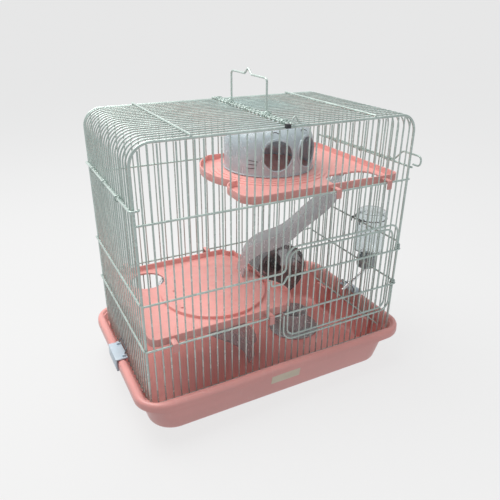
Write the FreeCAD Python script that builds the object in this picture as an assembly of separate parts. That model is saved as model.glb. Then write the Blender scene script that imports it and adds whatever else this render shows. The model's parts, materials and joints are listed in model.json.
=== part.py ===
import FreeCAD, Part
import os
from math import atan2, cos, degrees, pi, radians, sin, sqrt, tan

os.makedirs("parts", exist_ok=True)
V = FreeCAD.Vector

# A three-level wire hamster cage. X runs along the long front, Y from front to back, Z up.
# The origin is the middle of the tray's flat underside. All sizes are in millimetres.

# ---- driving dimensions ----
cage_width = 430.0  # between the wire planes of the two short sides
cage_depth = 244.0  # between the wire planes of the front and the back
cage_top = 432.0  # height of the roof wires
wire_pitch = 11.6  # wanted spacing of the bars
wire_r = 1.1
rod_r = 1.5  # cross rods
border_r = 1.9  # border wires of the front and the back
roof_bend_r = 28.0  # the roof wires turn down into the sides with this radius
weld_sink = 0.25  # how deep a welded rod sits in its bars
touch_gap = 0.02  # between wires that only touch
rest_gap = 0.3  # between a loose piece and what it stands on
bend_steps = 3  # each bent roof wire is made of this many short arcs

tray_height = 76.0
tray_wall = 2.5
tray_side_room = 6.5  # from the side wires to the tray's wall, at the rim
tray_front_room = 14.5  # from the front and back wires to the tray's wall, at the rim
rim_band = 11.0  # width of the rolled rim outside the wall
rim_drop = 14.0  # height of the rolled rim
tray_slope_x = 14.0  # how far each short wall leans out over the full height
tray_slope_y = 15.5
tray_corner_r = 50.0
tray_mouth_r = 18.0  # inner corners of the rim, where the cage's posts stand
tray_foot_r = 8.0  # rounding of the bottom edge
shelf_z = 61.0  # small corner shelves under the posts
seat_top = 54.0  # ledges in the tray that carry the cage
seat_length = 30.0
seat_spread = 130.0  # between the two ledges of one side

label_width = 52.0
label_height = 28.0
label_thick = 0.4
label_x = 3.0
label_z = 44.0

loft_height = 99.0  # from the rod that carries the upper platform to the roof
front_rod_mid = 221.7  # height of the rod that turns into the door arch
front_rod_low = 151.0  # height of the rod that carries the lower platform
back_rod_low = 158.5
tie_rod_drop = 81.0  # from the roof down to the rods that the tie hooks lie on
side_rod_mid = 225.0
side_rod_low = 153.0
roof_rod_spread = 276.0  # between the two outer cross rods of the roof
joint_rod_gap = 6.4  # between the two middle rods of the roof

door_width = 192.0
door_side_room = 16.0  # from the door to the side wires on its hinge side
door_bottom = 108.0
door_top = 253.0
door_corner_r = 14.0
door_frame_r = 1.5
door_rod_high = 214.5
door_rod_low = 151.0
hinge_loop_play = 0.4
arch_margin = 8.0  # between the door frame and the wire around its opening
sill_margin = 5.0  # between the door frame and the wire under it
arch_corner_r = 18.0
latch_post_r = 1.7
latch_post_gap = 1.0  # between the door's hook and its post
latch_hook_drop = 10.0
latch_hook_reach = 28.0

handle_spread = 116.0  # between the two rings that hold the handle
handle_height = 46.0
handle_notch = 8.0
handle_notch_half = 11.0
handle_bend_r = 6.0
handle_notch_bend_r = 3.0
handle_r = 1.5
ring_wire_r = 1.1
ring_play = 0.15
catch_width = 6.0
catch_depth = 6.0
catch_rise = 4.5  # above the roof wires
catch_left = 5.0  # from the middle of the roof
catch_set = 1.0  # from the axes of the front and roof wires to the catch

latch_length = 47.0
latch_plate = 2.2
latch_gap = 0.4
latch_bar_gap = 2.6  # between the clip's inner edge and the side bars
bail_rise = 9.5  # how far the steel bail stands up along the side bars
bail_gap = 1.2  # between the bail and the side bars
bail_root = 6.0  # from the side bars to the bail's roots
bail_margin = 6.0  # from the clip's ends to the bail
bail_bend_r = 3.0

left_hook_bend_r = 3.0
left_hook_reach = 6.0  # how far the left hook turns in along the front
left_hook_tip = 4.0
left_hook_gap = 0.2  # between the hook and the front rods
right_hook_rise = 17.0
right_hook_start = 40.0  # from the front to where the right hook starts to climb
right_hook_nose = 16.0  # how far the finger loop stands out in front
right_hook_bend_r = 8.0
right_hook_lip = 2.0  # the finger loop's lower end lies this far above the hook
right_hook_end = 1.0  # from the front wires to the loop's end
finger_loop_r = 6.5
tie_eye_bay = 4.5  # bays from the ends to the outer eyes
tie_eye_play = 0.2
tie_wire_slim = 0.1  # the hooks' wire is this much less in radius than the rods'

platform_wall = 2.2
platform_floor_drop = 1.0  # floor top below its carrying rod
platform_rim_rise = 8.0  # rim top above its carrying rod
platform_under = 4.0  # underside below its carrying rod
platform_side_gap = 9.0  # between a platform's long edges and the wires
platform_end_gap = 10.0  # between a platform's end and the side wires
end_corner_r = 12.0
hook_width = 8.0
hook_plate = 2.2
hook_play = 0.3
hook_leg = 10.0  # how far a hook reaches down past its rod's axis

lobe_corner_r = 24.0
house_margin = 38.0  # platform beyond the house
house_back_room = 13.0  # from the house to the platform's back edge
upper_lobe_reach = 41.0  # how far the front lobe reaches left past the house
upper_lobe_width = 77.0
ramp_hole_length = 90.0
ramp_hole_width = 49.0
ramp_hole_end_room = 15.0  # from the hole to the platform's right end
ramp_hole_front_room = 14.0  # from the hole to the platform's front edge
ramp_hole_r = 26.0
upper_hook_outer = 29.0  # from the platform's right end
upper_hook_inner = 125.0

lower_length = 228.0
disc_from_end = 138.0  # from the lower platform's left end to the raised disc's middle
disc_y = -10.0
disc_r = 84.5
disc_rise = 5.0
lobe_r = 50.0
front_lobe_from_end = 193.0
front_lobe_out = 3.0  # how much of the lobe the platform's edge cuts off
back_lobe_from_end = 183.0
back_lobe_out = 1.0
lobe_cut = 14.0  # the straight corners behind the lobes are cut back by this
round_hole_r = 28.0
round_hole_from_end = 53.0
round_hole_back_room = 13.0
vent_r = 2.0
lower_hook_outer = 33.0  # from the platform's left end
lower_hook_inner = 182.0

house_r = 72.0
house_overlap = 24.0  # how far the house reaches past the ramp hole's left end
house_height = 78.0
house_wall = 1.8
eye_r = 22.5
eye_rim = 3.0
eye_proud = 1.4  # how far the eyes' rims stand out of the wall
eye_height = 33.0
face_turn = -85.0  # direction the house looks, in degrees from +X
eye_half_angle = 23.0
step_rise = 1.4
step_width = 6.0

ramp_width = 48.0
ramp_wall = 1.8
ramp_channel = 20.0
ramp_inset = 27.0  # from a hole's edge to the ramp's top
ramp_lug = 6.0  # how far the ramp's flange reaches past its walls
ramp_flange_back = 7.0
ramp_flange_front = 36.0
upper_ramp_room = 7.0  # between the upper ramp's wall and the front of its hole
lower_ramp_shift = 6.0  # from the round hole's middle to the lower ramp's axis
upper_foot_x = 73.0  # from the raised disc's middle to the upper ramp's foot
upper_foot_y = 29.0
lower_foot_x = 23.0  # from the lower platform's right end to the lower ramp's foot
lower_foot_y = -14.8

bowl_side_room = 96.0  # from the bowl's middle to the side wires
bowl_y = 30.0
bowl_foot = 2.4
bowl_foot_r = 47.0
bowl_r = 26.0
bowl_height = 37.0
bowl_wall = 1.8

wheel_r = 54.0
wheel_height = 103.0
wheel_bay = 8.5  # bays from the right end to the axle
wheel_depth = 38.0
wheel_wall = 1.8
wheel_rungs = 18
axle_r = 3.0
axle_play = 0.08
axle_end = 8.0  # how far the axle stands out behind the cage
rung_r = 1.6
rung_drop = 0.6
hub_r = 9.0
hub_depth = 18.0
axle_cap_r = 7.5
axle_cap_thick = 3.0
bearing_plate_r = 22.0
bearing_plate_thick = 3.6
wheel_end_gap = 2.0  # between the wheel and its bearing plate
wheel_nut_r = 14.0
wheel_nut_thick = 6.0

bottle_r = 27.0
bottle_bay = 9.5  # bays from the front to the bottle
bottle_bottom = 126.0  # underside of the cap
bottle_cap_height = 24.0
bottle_length = 90.0
bottle_wall = 1.5
bottle_gap = 3.5  # between the bottle and the side rods
bottle_shoulder = 12.0
bottle_crown = 8.0
bottle_chamfer = 2.4
neck_r = 13.5
neck_play = 0.1
cap_r = 17.0
cap_floor = 5.0
neck_lift = 4.0  # from the cap's floor to the bottle's neck
nozzle_r = 3.6
nozzle_bore = 3.05
nozzle_lip_bore = 2.5
nozzle_lip = 1.2
nozzle_drop = 10.0  # straight down from the cap before the bend
nozzle_reach = 50.0
nozzle_fall = 32.0
nozzle_bend_r = 16.0
ball_r = 2.9
ball_play = 0.12
hanger_r = 1.1
hanger_play = 0.1
hanger_leg = 8.0
hanger_drop = 3.0

# ---- derived sizes ----
half_w = cage_width / 2
half_d = cage_depth / 2
tray_length = cage_width + 2 * (tray_side_room + tray_wall + rim_band)
tray_width = cage_depth + 2 * (tray_front_room + tray_wall + rim_band)
front_rod_top = cage_top - loft_height  # carries the upper platform
side_rod_top = cage_top - tie_rod_drop
door_right = half_w - door_side_room
door_left = door_right - door_width
platform_half_depth = half_d - platform_side_gap
bays_long = round(cage_width / wire_pitch)
bays_deep = round(cage_depth / wire_pitch)
pitch_x = cage_width / bays_long
pitch_y = cage_depth / bays_deep
rod_offset = wire_r + rod_r - weld_sink  # a welded rod's axis from its bars' plane
border_inset = border_r - wire_r + weld_sink + touch_gap
cage_bottom = seat_top + rod_r + rest_gap
post_foot = shelf_z + rest_gap
post_x = half_w - border_inset
post_y = half_d - border_inset
rail_z = cage_top - border_inset
bend_x = half_w - roof_bend_r
tray_floor_z = tray_wall
tray_half_x = tray_length / 2
tray_half_y = tray_width / 2


def bar_x(i):
    return -half_w + i * pitch_x


def bar_y(i):
    return -half_d + i * pitch_y


# ---- shape helpers ----
def rod(a, b, r):
    return Part.makeCylinder(r, (b - a).Length, a, b - a)


def box(x0, x1, y0, y1, z0, z1):
    return Part.makeBox(x1 - x0, y1 - y0, z1 - z0, V(x0, y0, z0))


def bent_path(points, bends):
    """A wire of straight runs joined by tangent arcs, with one bend radius per inner point."""
    edges = []
    start = points[0]
    for i in range(1, len(points) - 1):
        to_prev = (points[i - 1] - points[i]).normalize()
        to_next = (points[i + 1] - points[i]).normalize()
        half_turn = to_prev.getAngle(to_next) / 2
        cut = bends[i - 1] / tan(half_turn)
        first = points[i] + to_prev * cut
        last = points[i] + to_next * cut
        middle = (to_prev + to_next).normalize()
        depth = bends[i - 1] / sin(half_turn) - bends[i - 1]
        edges.append(Part.makeLine(start, first))
        edges.append(Part.Arc(first, points[i] + middle * depth, last).toShape())
        start = last
    edges.append(Part.makeLine(start, points[-1]))
    return Part.Wire(edges)


def bent_rod(points, bend, r):
    bends = bend if isinstance(bend, list) else [bend] * (len(points) - 2)
    path = bent_path(points, bends)
    section = Part.Wire(Part.makeCircle(r, points[0], points[1] - points[0]))
    return path.makePipeShell([section], True, True)


def ring(center, axis, loop_r, r):
    return Part.makeTorus(loop_r, r, center, axis)


def fused(shapes):
    whole = shapes[0]
    if len(shapes) > 1:
        whole = shapes[0].multiFuse(shapes[1:])
    return whole


def rounded_rectangle(length, width, r, z):
    x, y = length / 2, width / 2
    m = r * (1 - sqrt(0.5))
    corners = ((1, 1), (-1, 1), (-1, -1), (1, -1))
    ends = []
    for sx, sy in corners:
        side = V(sx * x, sy * (y - r), z)
        mid = V(sx * (x - m), sy * (y - m), z)
        top = V(sx * (x - r), sy * y, z)
        ends.append((side, mid, top) if sx * sy > 0 else (top, mid, side))
    edges = []
    for i in range(4):
        a, m_point, b = ends[i]
        edges.append(Part.Arc(a, m_point, b).toShape())
        edges.append(Part.makeLine(b, ends[(i + 1) % 4][0]))
    return Part.Wire(edges)


def revolved(profile, center):
    """Turns a closed list of (radius, height) edges about a vertical axis."""
    face = Part.Face(Part.Wire(profile))
    solid = face.revolve(V(0, 0, 0), V(0, 0, 1), 360)
    solid.translate(center)
    return solid


def turned_outline(points):
    """Straight profile edges through (radius, height) points, closed."""
    vectors = [V(r, 0, z) for r, z in points]
    return [Part.makeLine(vectors[i], vectors[(i + 1) % len(vectors)]) for i in range(len(vectors))]


def export(name, shape):
    volume = shape.Volume
    if volume <= 0 or not shape.isValid():
        raise ValueError(name + " is not a sound solid")
    shape.exportStep("parts/" + name + ".step")


# ---- base tray ----
def tray_half(height, inset):
    """Half length and half width of the tray's wall at a height, moved in by an inset."""
    share = 1 - height / tray_height
    x = tray_half_x - rim_band - share * tray_slope_x - inset
    y = tray_half_y - rim_band - share * tray_slope_y - inset
    return x, y


def tray_loft(heights, inset, foot_r):
    sections = []
    for z in heights:
        x, y = tray_half(z, inset)
        rise = z - heights[0]
        if rise < foot_r:
            pull = foot_r - sqrt(foot_r * foot_r - (foot_r - rise) ** 2)
            x -= pull
            y -= pull
        corner = tray_corner_r - rim_band - inset
        sections.append(rounded_rectangle(2 * x, 2 * y, corner, z))
    return Part.makeLoft(sections, True, True)


def base_tray():
    foot_steps = [0.0, tray_foot_r * 0.12, tray_foot_r * 0.4, tray_foot_r]
    outer = tray_loft(foot_steps + [tray_height], 0.0, tray_foot_r)
    inner_heights = [tray_floor_z + step for step in foot_steps] + [tray_height + 1]
    inner = tray_loft(inner_heights, tray_wall, tray_foot_r)
    mouth_x, mouth_y = tray_half(tray_height, tray_wall)
    mouth_z = shelf_z - tray_wall
    collar = Part.Face(
        rounded_rectangle(
            2 * (mouth_x + tray_wall), 2 * (mouth_y + tray_wall), tray_mouth_r + tray_wall, mouth_z
        )
    )
    collar = collar.extrude(V(0, 0, tray_height - mouth_z))
    mouth = Part.Face(rounded_rectangle(2 * mouth_x, 2 * mouth_y, tray_mouth_r, shelf_z))
    mouth = mouth.extrude(V(0, 0, tray_height))
    rim_z = tray_height - rim_drop
    rim = Part.Face(rounded_rectangle(tray_length, tray_width, tray_corner_r, rim_z))
    rim = rim.extrude(V(0, 0, rim_drop))
    skirt = 2 * tray_wall
    pocket = rounded_rectangle(
        tray_length - skirt, tray_width - skirt, tray_corner_r - tray_wall, rim_z
    )
    pocket = Part.Face(pocket).extrude(V(0, 0, rim_drop - tray_wall))
    edges = [e for e in rim.Edges if e.BoundBox.ZMin > tray_height - touch_gap]
    rim = rim.makeFillet(tray_wall * 1.6, edges)
    seats = []
    for side in (-1, 1):
        for end in (-1, 1):
            y_mid = end * seat_spread / 2
            near = side * (half_w - rod_offset - 3 * rod_r)
            far = side * tray_half_x
            block = box(
                min(near, far), max(near, far), y_mid - seat_length / 2, y_mid + seat_length / 2,
                tray_floor_z / 2, seat_top,
            )
            seats.append(block.common(outer))
    shell = fused([outer, collar]).cut(inner).cut(mouth)
    return rim.cut(pocket).cut(inner).cut(mouth).fuse([shell] + seats)


def tray_label():
    """A blank sticker on the sloping front wall."""
    corner = V(-label_width / 2, -label_thick, -label_height / 2)
    plate = Part.makeBox(label_width, label_thick, label_height, corner)
    lean = degrees(atan2(tray_slope_y, tray_height))
    plate.rotate(V(0, 0, 0), V(1, 0, 0), lean)
    plate.translate(V(label_x, -tray_half(label_z, 0.0)[1], label_z))
    return plate


# ---- wire shells ----
def roof_rods(side):
    xs = [side * roof_rod_spread / 2, side * joint_rod_gap / 2]
    z = cage_top + rod_offset
    return [rod(V(x, -half_d, z), V(x, half_d, z), rod_r) for x in xs]


def roof_grille(side):
    end = side * (joint_rod_gap / 2 - rod_r + wire_r / 2)
    bars = []
    for i in range(1, bays_deep):
        bars.append(rod(V(side * bend_x, bar_y(i), cage_top), V(end, bar_y(i), cage_top), wire_r))
    return fused(roof_rods(side) + bars)


def corner_bends(side):
    """The quarter turns of the roof wires, each in short arcs end to end."""
    arcs = []
    axis = V(0, -side, 0)
    sweep = 90.0 / bend_steps
    for i in range(1, bays_deep):
        center = V(side * bend_x, bar_y(i), cage_top - roof_bend_r)
        for k in range(bend_steps):
            end = Part.makeCircle(wire_r, center + V(side * roof_bend_r, 0, 0), V(0, 0, 1))
            disc = Part.Face(Part.Wire(end))
            disc.rotate(center, axis, k * sweep)
            arcs.append(disc.revolve(center, axis, sweep))
    return Part.makeCompound(arcs)


def side_grille(side):
    x = side * half_w
    bars = []
    for i in range(1, bays_deep):
        foot = post_foot if i in (1, bays_deep - 1) else cage_bottom
        bars.append(rod(V(x, bar_y(i), foot), V(x, bar_y(i), cage_top - roof_bend_r), wire_r))
    outside = x + side * rod_offset
    start = -half_d - rod_offset if side < 0 else -half_d + pitch_y - 2 * wire_r
    for z in (side_rod_mid, side_rod_low):
        bars.append(rod(V(outside, start, z), V(outside, half_d, z), rod_r))
    inside = x - side * rod_offset
    y_end = bar_y(bays_deep - 2) + wire_r
    bars.append(rod(V(inside, -y_end, cage_bottom), V(inside, y_end, cage_bottom), rod_r))
    return fused(bars)


def tie_rod(side):
    """The uppermost side rod, which the tie hook lies on."""
    x = side * tie_rod_x
    return rod(V(x, -half_d - rod_offset, side_rod_top), V(x, half_d, side_rod_top), rod_r)


def border_wire(y):
    foot = post_foot
    points = [V(-post_x, y, foot), V(-post_x, y, rail_z), V(post_x, y, rail_z), V(post_x, y, foot)]
    return bent_rod(points, roof_bend_r - border_inset, border_r)


def bar_top(x, inset):
    """Height where an upright at x meets the underside of the border wire's bend."""
    bend = roof_bend_r - border_inset
    start = post_x - bend
    past = abs(x) - start
    if past <= 0:
        return rail_z - inset
    inner = bend - inset
    return rail_z - bend + sqrt(max(inner * inner - past * past, 0.0))


def back_grille():
    pieces = [border_wire(post_y)]
    for i in range(1, bays_long):
        x = bar_x(i)
        top = bar_top(x, border_r / 2)
        pieces.append(rod(V(x, half_d, cage_bottom), V(x, half_d, top), wire_r))
    outside = half_d + rod_offset
    for z in (front_rod_top, back_rod_low):
        pieces.append(rod(V(-half_w, outside, z), V(half_w, outside, z), rod_r))
    inside = half_d - rod_offset
    pieces.append(rod(V(-bottom_x, inside, cage_bottom), V(bottom_x, inside, cage_bottom), rod_r))
    return fused(pieces)


# ---- front panel ----
arch_left = door_left - arch_margin
arch_right = door_right + arch_margin
arch_top = door_top + arch_margin
sill_z = door_bottom - sill_margin
front_y = -half_d
front_rod_y = front_y - rod_offset
arch_y = front_y - wire_r - rod_r - touch_gap
inside_y = front_y + rod_offset
bottom_x = bar_x(bays_long - 1) + wire_r  # the bottom rods stop short of the tray's round corners
last_left_bar = int((arch_left + half_w) / pitch_x)
split_x = arch_left + 0.5
upright_top_gap = border_r + wire_r / 2


def front_grille_left():
    pieces = []
    for i in range(1, last_left_bar + 1):
        x = bar_x(i)
        top = bar_top(x, upright_top_gap)
        pieces.append(rod(V(x, front_y, cage_bottom), V(x, front_y, top), wire_r))
    ends = (
        (split_x, front_rod_top), (arch_left - arch_corner_r, front_rod_mid),
        (arch_left - pitch_x / 2, front_rod_low),
    )
    for end, z in ends:
        pieces.append(rod(V(-half_w, front_rod_y, z), V(end, front_rod_y, z), rod_r))
    pieces.append(rod(V(-bottom_x, inside_y, cage_bottom), V(split_x, inside_y, cage_bottom), rod_r))
    return fused(pieces)


def corner_fall(x, corner_r):
    """How far the opening's rounded corner falls away from its straight run at x."""
    past = max(arch_left + corner_r - x, x - arch_right + corner_r, 0.0)
    return corner_r - sqrt(max(corner_r * corner_r - past * past, 0.0))


def front_grille_upper():
    pieces = []
    for i in range(last_left_bar + 1, bays_long):
        x = bar_x(i)
        low = arch_top - corner_fall(x, arch_corner_r) - rod_r
        top = bar_top(x, upright_top_gap)
        pieces.append(rod(V(x, front_y, low), V(x, front_y, top), wire_r))
    start = V(split_x, front_rod_y, front_rod_top)
    pieces.append(rod(start, V(half_w, front_rod_y, front_rod_top), rod_r))
    return fused(pieces)


def front_grille_lower():
    pieces = []
    for i in range(last_left_bar + 1, bays_long):
        x = bar_x(i)
        high = sill_z + corner_fall(x, arch_corner_r) + rod_r
        pieces.append(rod(V(x, front_y, cage_bottom), V(x, front_y, high), wire_r))
    pieces.append(rod(V(split_x, inside_y, cage_bottom), V(bottom_x, inside_y, cage_bottom), rod_r))
    return fused(pieces)


def door_arch_wire():
    end = door_rod_high + 2 * rod_r + touch_gap
    points = [
        V(arch_left - arch_corner_r, arch_y, front_rod_mid), V(arch_left, arch_y, front_rod_mid),
        V(arch_left, arch_y, arch_top), V(arch_right, arch_y, arch_top), V(arch_right, arch_y, end),
    ]
    return bent_rod(points, [arch_corner_r / 2, arch_corner_r, arch_corner_r], rod_r)


def door_sill_wire():
    high = door_rod_low - 2 * rod_r - touch_gap
    points = [
        V(arch_left, arch_y, high), V(arch_left, arch_y, sill_z),
        V(arch_right, arch_y, sill_z), V(arch_right, arch_y, high),
    ]
    return bent_rod(points, arch_corner_r, rod_r)


latch_bar = round((arch_left - latch_hook_reach + half_w) / pitch_x)
latch_post_x = bar_x(latch_bar)
latch_post_y = front_y - wire_r - latch_post_r - touch_gap


def latch_post_wire():
    foot = V(latch_post_x, latch_post_y, front_rod_low + rod_r + touch_gap)
    return rod(foot, V(latch_post_x, latch_post_y, door_rod_high), latch_post_r)


# ---- door ----
door_y = front_y


def door_frame():
    edge = [
        V((door_left + door_right) / 2, door_y, door_top), V(door_left, door_y, door_top),
        V(door_left, door_y, door_bottom), V(door_right, door_y, door_bottom),
        V(door_right, door_y, door_top), V((door_left + door_right) / 2, door_y, door_top),
    ]
    path = bent_path(edge, [door_corner_r] * 4)
    section = Part.Wire(Part.makeCircle(door_frame_r, edge[0], V(1, 0, 0)))
    return path.makePipeShell([section], True, True)


def door_bars():
    """The uprights between the frame's top and bottom runs, as one group."""
    bars = []
    first = int((door_left + door_corner_r / 2 + half_w) / pitch_x) + 1
    last = int((door_right - door_corner_r / 3 + half_w) / pitch_x)
    for i in range(first, last + 1):
        x = bar_x(i)
        past = max(door_left + door_corner_r - x, x - door_right + door_corner_r, 0.0)
        fall = door_corner_r - sqrt(door_corner_r ** 2 - past ** 2)
        low = V(x, door_y, door_bottom + fall)
        high = V(x, door_y, door_top - fall)
        bars.append(rod(low, high, wire_r))
    return bars


door_rod_y = door_y - door_frame_r - rod_r + weld_sink
hinge_loop_r = border_r + hinge_loop_play + rod_r


def hinge_loop(z):
    return ring(V(post_x, -post_y, z), V(0, 0, 1), hinge_loop_r, rod_r)


def door_upper_rod():
    dip = door_rod_high - latch_hook_drop
    tip = latch_post_x + latch_post_r + rod_r + latch_post_gap
    points = [
        V(post_x, door_rod_y, door_rod_high), V(arch_left + 2 * rod_r, door_rod_y, door_rod_high),
        V(arch_left - 2 * rod_r, door_rod_y, dip), V(tip, door_rod_y, dip),
        V(tip, door_rod_y, door_rod_high),
    ]
    return bent_rod(points, 2 * rod_r, rod_r)


def door_lower_rod():
    return rod(V(post_x, door_rod_y, door_rod_low), V(arch_left, door_rod_y, door_rod_low), rod_r)


def door_leaf():
    """Frame, bars and rods are welded together. The rods' loops turn on the corner post."""
    grille = fused([door_frame()] + door_bars())
    post_hole = rod(
        V(post_x, -post_y, 0), V(post_x, -post_y, cage_top), border_r + hinge_loop_play
    )
    upper = fused([door_upper_rod(), hinge_loop(door_rod_high)]).cut(post_hole)
    lower = fused([door_lower_rod(), hinge_loop(door_rod_low)]).cut(post_hole)
    return grille, upper.cut(grille), lower.cut(grille)


# ---- handle and the joint of the roof ----
middle_bay = bays_deep // 2 + 0.5
ring_y = [bar_y(1.5), bar_y(middle_bay), bar_y(bays_deep - 1.5)]
handle_bay = round((half_d - handle_spread / 2) / pitch_y - 0.5) + 0.5
handle_ring_y = half_d - handle_bay * pitch_y
rod_top_z = cage_top + rod_offset + rod_r
handle_axis_z = rod_top_z + handle_r + touch_gap
ring_center_z = rod_top_z + handle_r / 2
ring_loop_r = sqrt((joint_rod_gap / 2) ** 2 + (ring_center_z - cage_top - rod_offset) ** 2)
ring_loop_r += rod_r + ring_wire_r + ring_play


def joint_ring(y):
    return ring(V(0, y, ring_center_z), V(0, 1, 0), ring_loop_r, ring_wire_r)


def carry_handle():
    leg_y = handle_ring_y - ring_wire_r - handle_r - rest_gap
    stub_y = handle_ring_y + ring_wire_r + 2 * handle_r
    top = handle_axis_z + handle_height
    notch = handle_notch_half
    points = [
        V(0, stub_y, handle_axis_z), V(0, leg_y, handle_axis_z), V(0, leg_y, top),
        V(0, notch, top), V(0, 0, top + handle_notch), V(0, -notch, top),
        V(0, -leg_y, top), V(0, -leg_y, handle_axis_z), V(0, -stub_y, handle_axis_z),
    ]
    foot_bend = [handle_r * 1.2]
    notch_bends = [handle_notch_bend_r] * 3
    bends = foot_bend + [handle_bend_r] + notch_bends + [handle_bend_r] + foot_bend
    return bent_rod(points, bends, handle_r)


def roof_catch():
    """The small dark clamp on the front end of the roof's joint."""
    front = -half_d - catch_set
    right = -catch_left
    low = cage_top - catch_set
    return box(right - catch_width, right, front - catch_depth, front, low, cage_top + catch_rise)


# ---- tray latches ----
def tray_latch(side):
    """A moulded clip that hooks under the rolled rim and lies over it."""
    pivot_x = side * (tray_half_x + latch_gap)
    pivot_z = tray_height - rim_drop - latch_plate - latch_gap
    skin = latch_plate
    outside = pivot_x + side * skin
    inside = side * (half_w + wire_r + latch_bar_gap)
    low = pivot_z
    top = tray_height + latch_gap
    y = latch_length / 2
    bead = rod(V(pivot_x, -y, pivot_z), V(pivot_x, y, pivot_z), skin)
    flange = box(min(pivot_x, outside), max(pivot_x, outside), -y, y, low, top + skin)
    plate = box(min(inside, outside), max(inside, outside), -y, y, top, top + skin)
    return fused([bead, flange, plate])


def latch_bail(side):
    """The steel wire on the clip that snaps against the side bars."""
    base_z = tray_height + latch_gap + latch_plate + wire_r
    reach = side * (half_w + 2 * wire_r + bail_gap)
    root = side * (half_w + wire_r + bail_root)
    y = latch_length / 2 - bail_margin
    high = base_z + bail_rise
    points = [
        V(root, -y, base_z), V(reach, -y, high), V(reach, y, high), V(root, y, base_z),
    ]
    return bent_rod(points, bail_bend_r, wire_r)


# ---- tie hooks of the two sides ----
tie_step = (rod_r + rod_r + touch_gap * 5) / sqrt(2)
tie_rod_x = half_w + wire_r + rod_r + touch_gap
tie_x = tie_rod_x + tie_step
tie_z = side_rod_top + tie_step
tie_wire_r = rod_r - tie_wire_slim


def left_tie_hook():
    front = -half_d - rod_offset - rod_r - tie_wire_r - left_hook_gap
    turn_x = -half_w + left_hook_reach
    points = [
        V(-tie_x, half_d - pitch_y, tie_z), V(-tie_x, front, tie_z), V(turn_x, front, tie_z),
        V(turn_x + tie_wire_r, front + left_hook_tip, tie_z),
    ]
    return bent_rod(points, [left_hook_bend_r, left_hook_bend_r * 2 / 3], tie_wire_r)


def right_tie_hook():
    climb_y = -half_d + right_hook_start
    top = tie_z + right_hook_rise
    low = tie_z + right_hook_lip
    nose = -half_d - right_hook_nose
    points = [
        V(tie_x, half_d - pitch_y, tie_z), V(tie_x, climb_y, tie_z),
        V(tie_x, climb_y - right_hook_rise, top), V(tie_x, nose, top), V(tie_x, nose, low),
        V(tie_x, -half_d - right_hook_end, low),
    ]
    bends = [right_hook_bend_r] * 2 + [finger_loop_r] * 2
    return bent_rod(points, bends, tie_wire_r)


def tie_eyes(side):
    """Small rings that hold a tie hook against its side rod."""
    x = side * (tie_rod_x + tie_step / 2)
    z = side_rod_top + tie_step / 2
    eye_r = wire_r * 0.8
    loop = tie_step / sqrt(2) + rod_r + eye_r + tie_eye_play
    bays = (tie_eye_bay, middle_bay, bays_deep - tie_eye_bay)
    return [ring(V(x, bar_y(b), z), V(0, 1, 0), loop, eye_r) for b in bays]


# ---- platforms ----
def clipped_disc(x, y, r, z0, z1, half_depth):
    disc = Part.makeCylinder(r, z1 - z0, V(x, y, z0))
    return disc.common(box(x - r, x + r, -half_depth, half_depth, z0, z1))


def rounded_block(x0, x1, y0, y1, z0, z1, corners):
    """A box whose named vertical corners are rounded: each corner is (x, y, radius)."""
    block = box(x0, x1, y0, y1, z0, z1)
    for x, y, r in corners:
        edges = [
            e for e in block.Edges
            if abs(e.BoundBox.XMax - x) < 1e-6 and abs(e.BoundBox.XMin - x) < 1e-6
            and abs(e.BoundBox.YMax - y) < 1e-6 and abs(e.BoundBox.YMin - y) < 1e-6
        ]
        block = block.makeFillet(r, edges)
    return block


upper_end = half_w - platform_end_gap
ramp_hole_right = upper_end - ramp_hole_end_room
ramp_hole_left = ramp_hole_right - ramp_hole_length
ramp_hole_front = -platform_half_depth + ramp_hole_front_room
ramp_hole_back = ramp_hole_front + ramp_hole_width
house_x = ramp_hole_left - house_r + house_overlap
house_y = platform_half_depth - house_r - house_back_room
house_lobe_r = house_r + house_margin
upper_lobe_left = house_x - house_r - upper_lobe_reach
upper_lobe_back = -platform_half_depth + upper_lobe_width


def upper_body(z0, z1, inset):
    depth = platform_half_depth - inset
    right = upper_end - inset
    lobe = clipped_disc(house_x - 2.0, house_y - 1.0, house_lobe_r - inset, z0, z1, depth)
    left = upper_lobe_left + inset
    back = upper_lobe_back - inset
    front = rounded_block(
        left, right, -depth, back, z0, z1,
        ((left, -depth, lobe_corner_r - inset), (left, back, lobe_corner_r - inset)),
    )
    corner = end_corner_r - inset
    main = rounded_block(
        house_x, right, -depth, depth, z0, z1, ((right, -depth, corner), (right, depth, corner))
    )
    front = front.common(box(left, house_x + 1.0, -depth, back, z0, z1))
    return fused([lobe, front, main])


def platform_hook(x, rod_y, rod_z, rim_top, under):
    """A strap that passes between two bars, over the rod and down outside it."""
    out = 1 if rod_y > 0 else -1
    half = hook_width / 2
    over = rod_z + rod_r + hook_play
    outer = rod_y + out * (rod_r + hook_play)
    rim_y = out * (platform_half_depth - platform_wall / 2)
    edge_y = out * platform_half_depth
    strap = box(
        x - half, x + half, min(rim_y, outer + out * hook_plate), max(rim_y, outer + out * hook_plate),
        over, over + hook_plate,
    )
    leg = box(
        x - half, x + half, min(outer, outer + out * hook_plate), max(outer, outer + out * hook_plate),
        rod_z - hook_leg, over + hook_plate,
    )
    tab_top = max(rim_top, over + hook_plate)
    tab = box(
        x - half, x + half, min(edge_y, rim_y), max(edge_y, rim_y), under, tab_top
    )
    return [strap, leg, tab]


def gap_x(x):
    """The middle of the bay nearest to x."""
    return bar_x(int((x + half_w) / pitch_x) + 0.5)


def house_steps(floor_z, rise_count):
    """Round steps under the house, the topmost first."""
    steps = []
    for k in range(rise_count):
        r = house_r + step_width * (k + 2)
        foot = V(house_x, house_y, floor_z - platform_wall)
        rise = step_rise * (rise_count - k)
        steps.append(Part.makeCylinder(r, rise + platform_wall, foot))
    return steps


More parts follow.
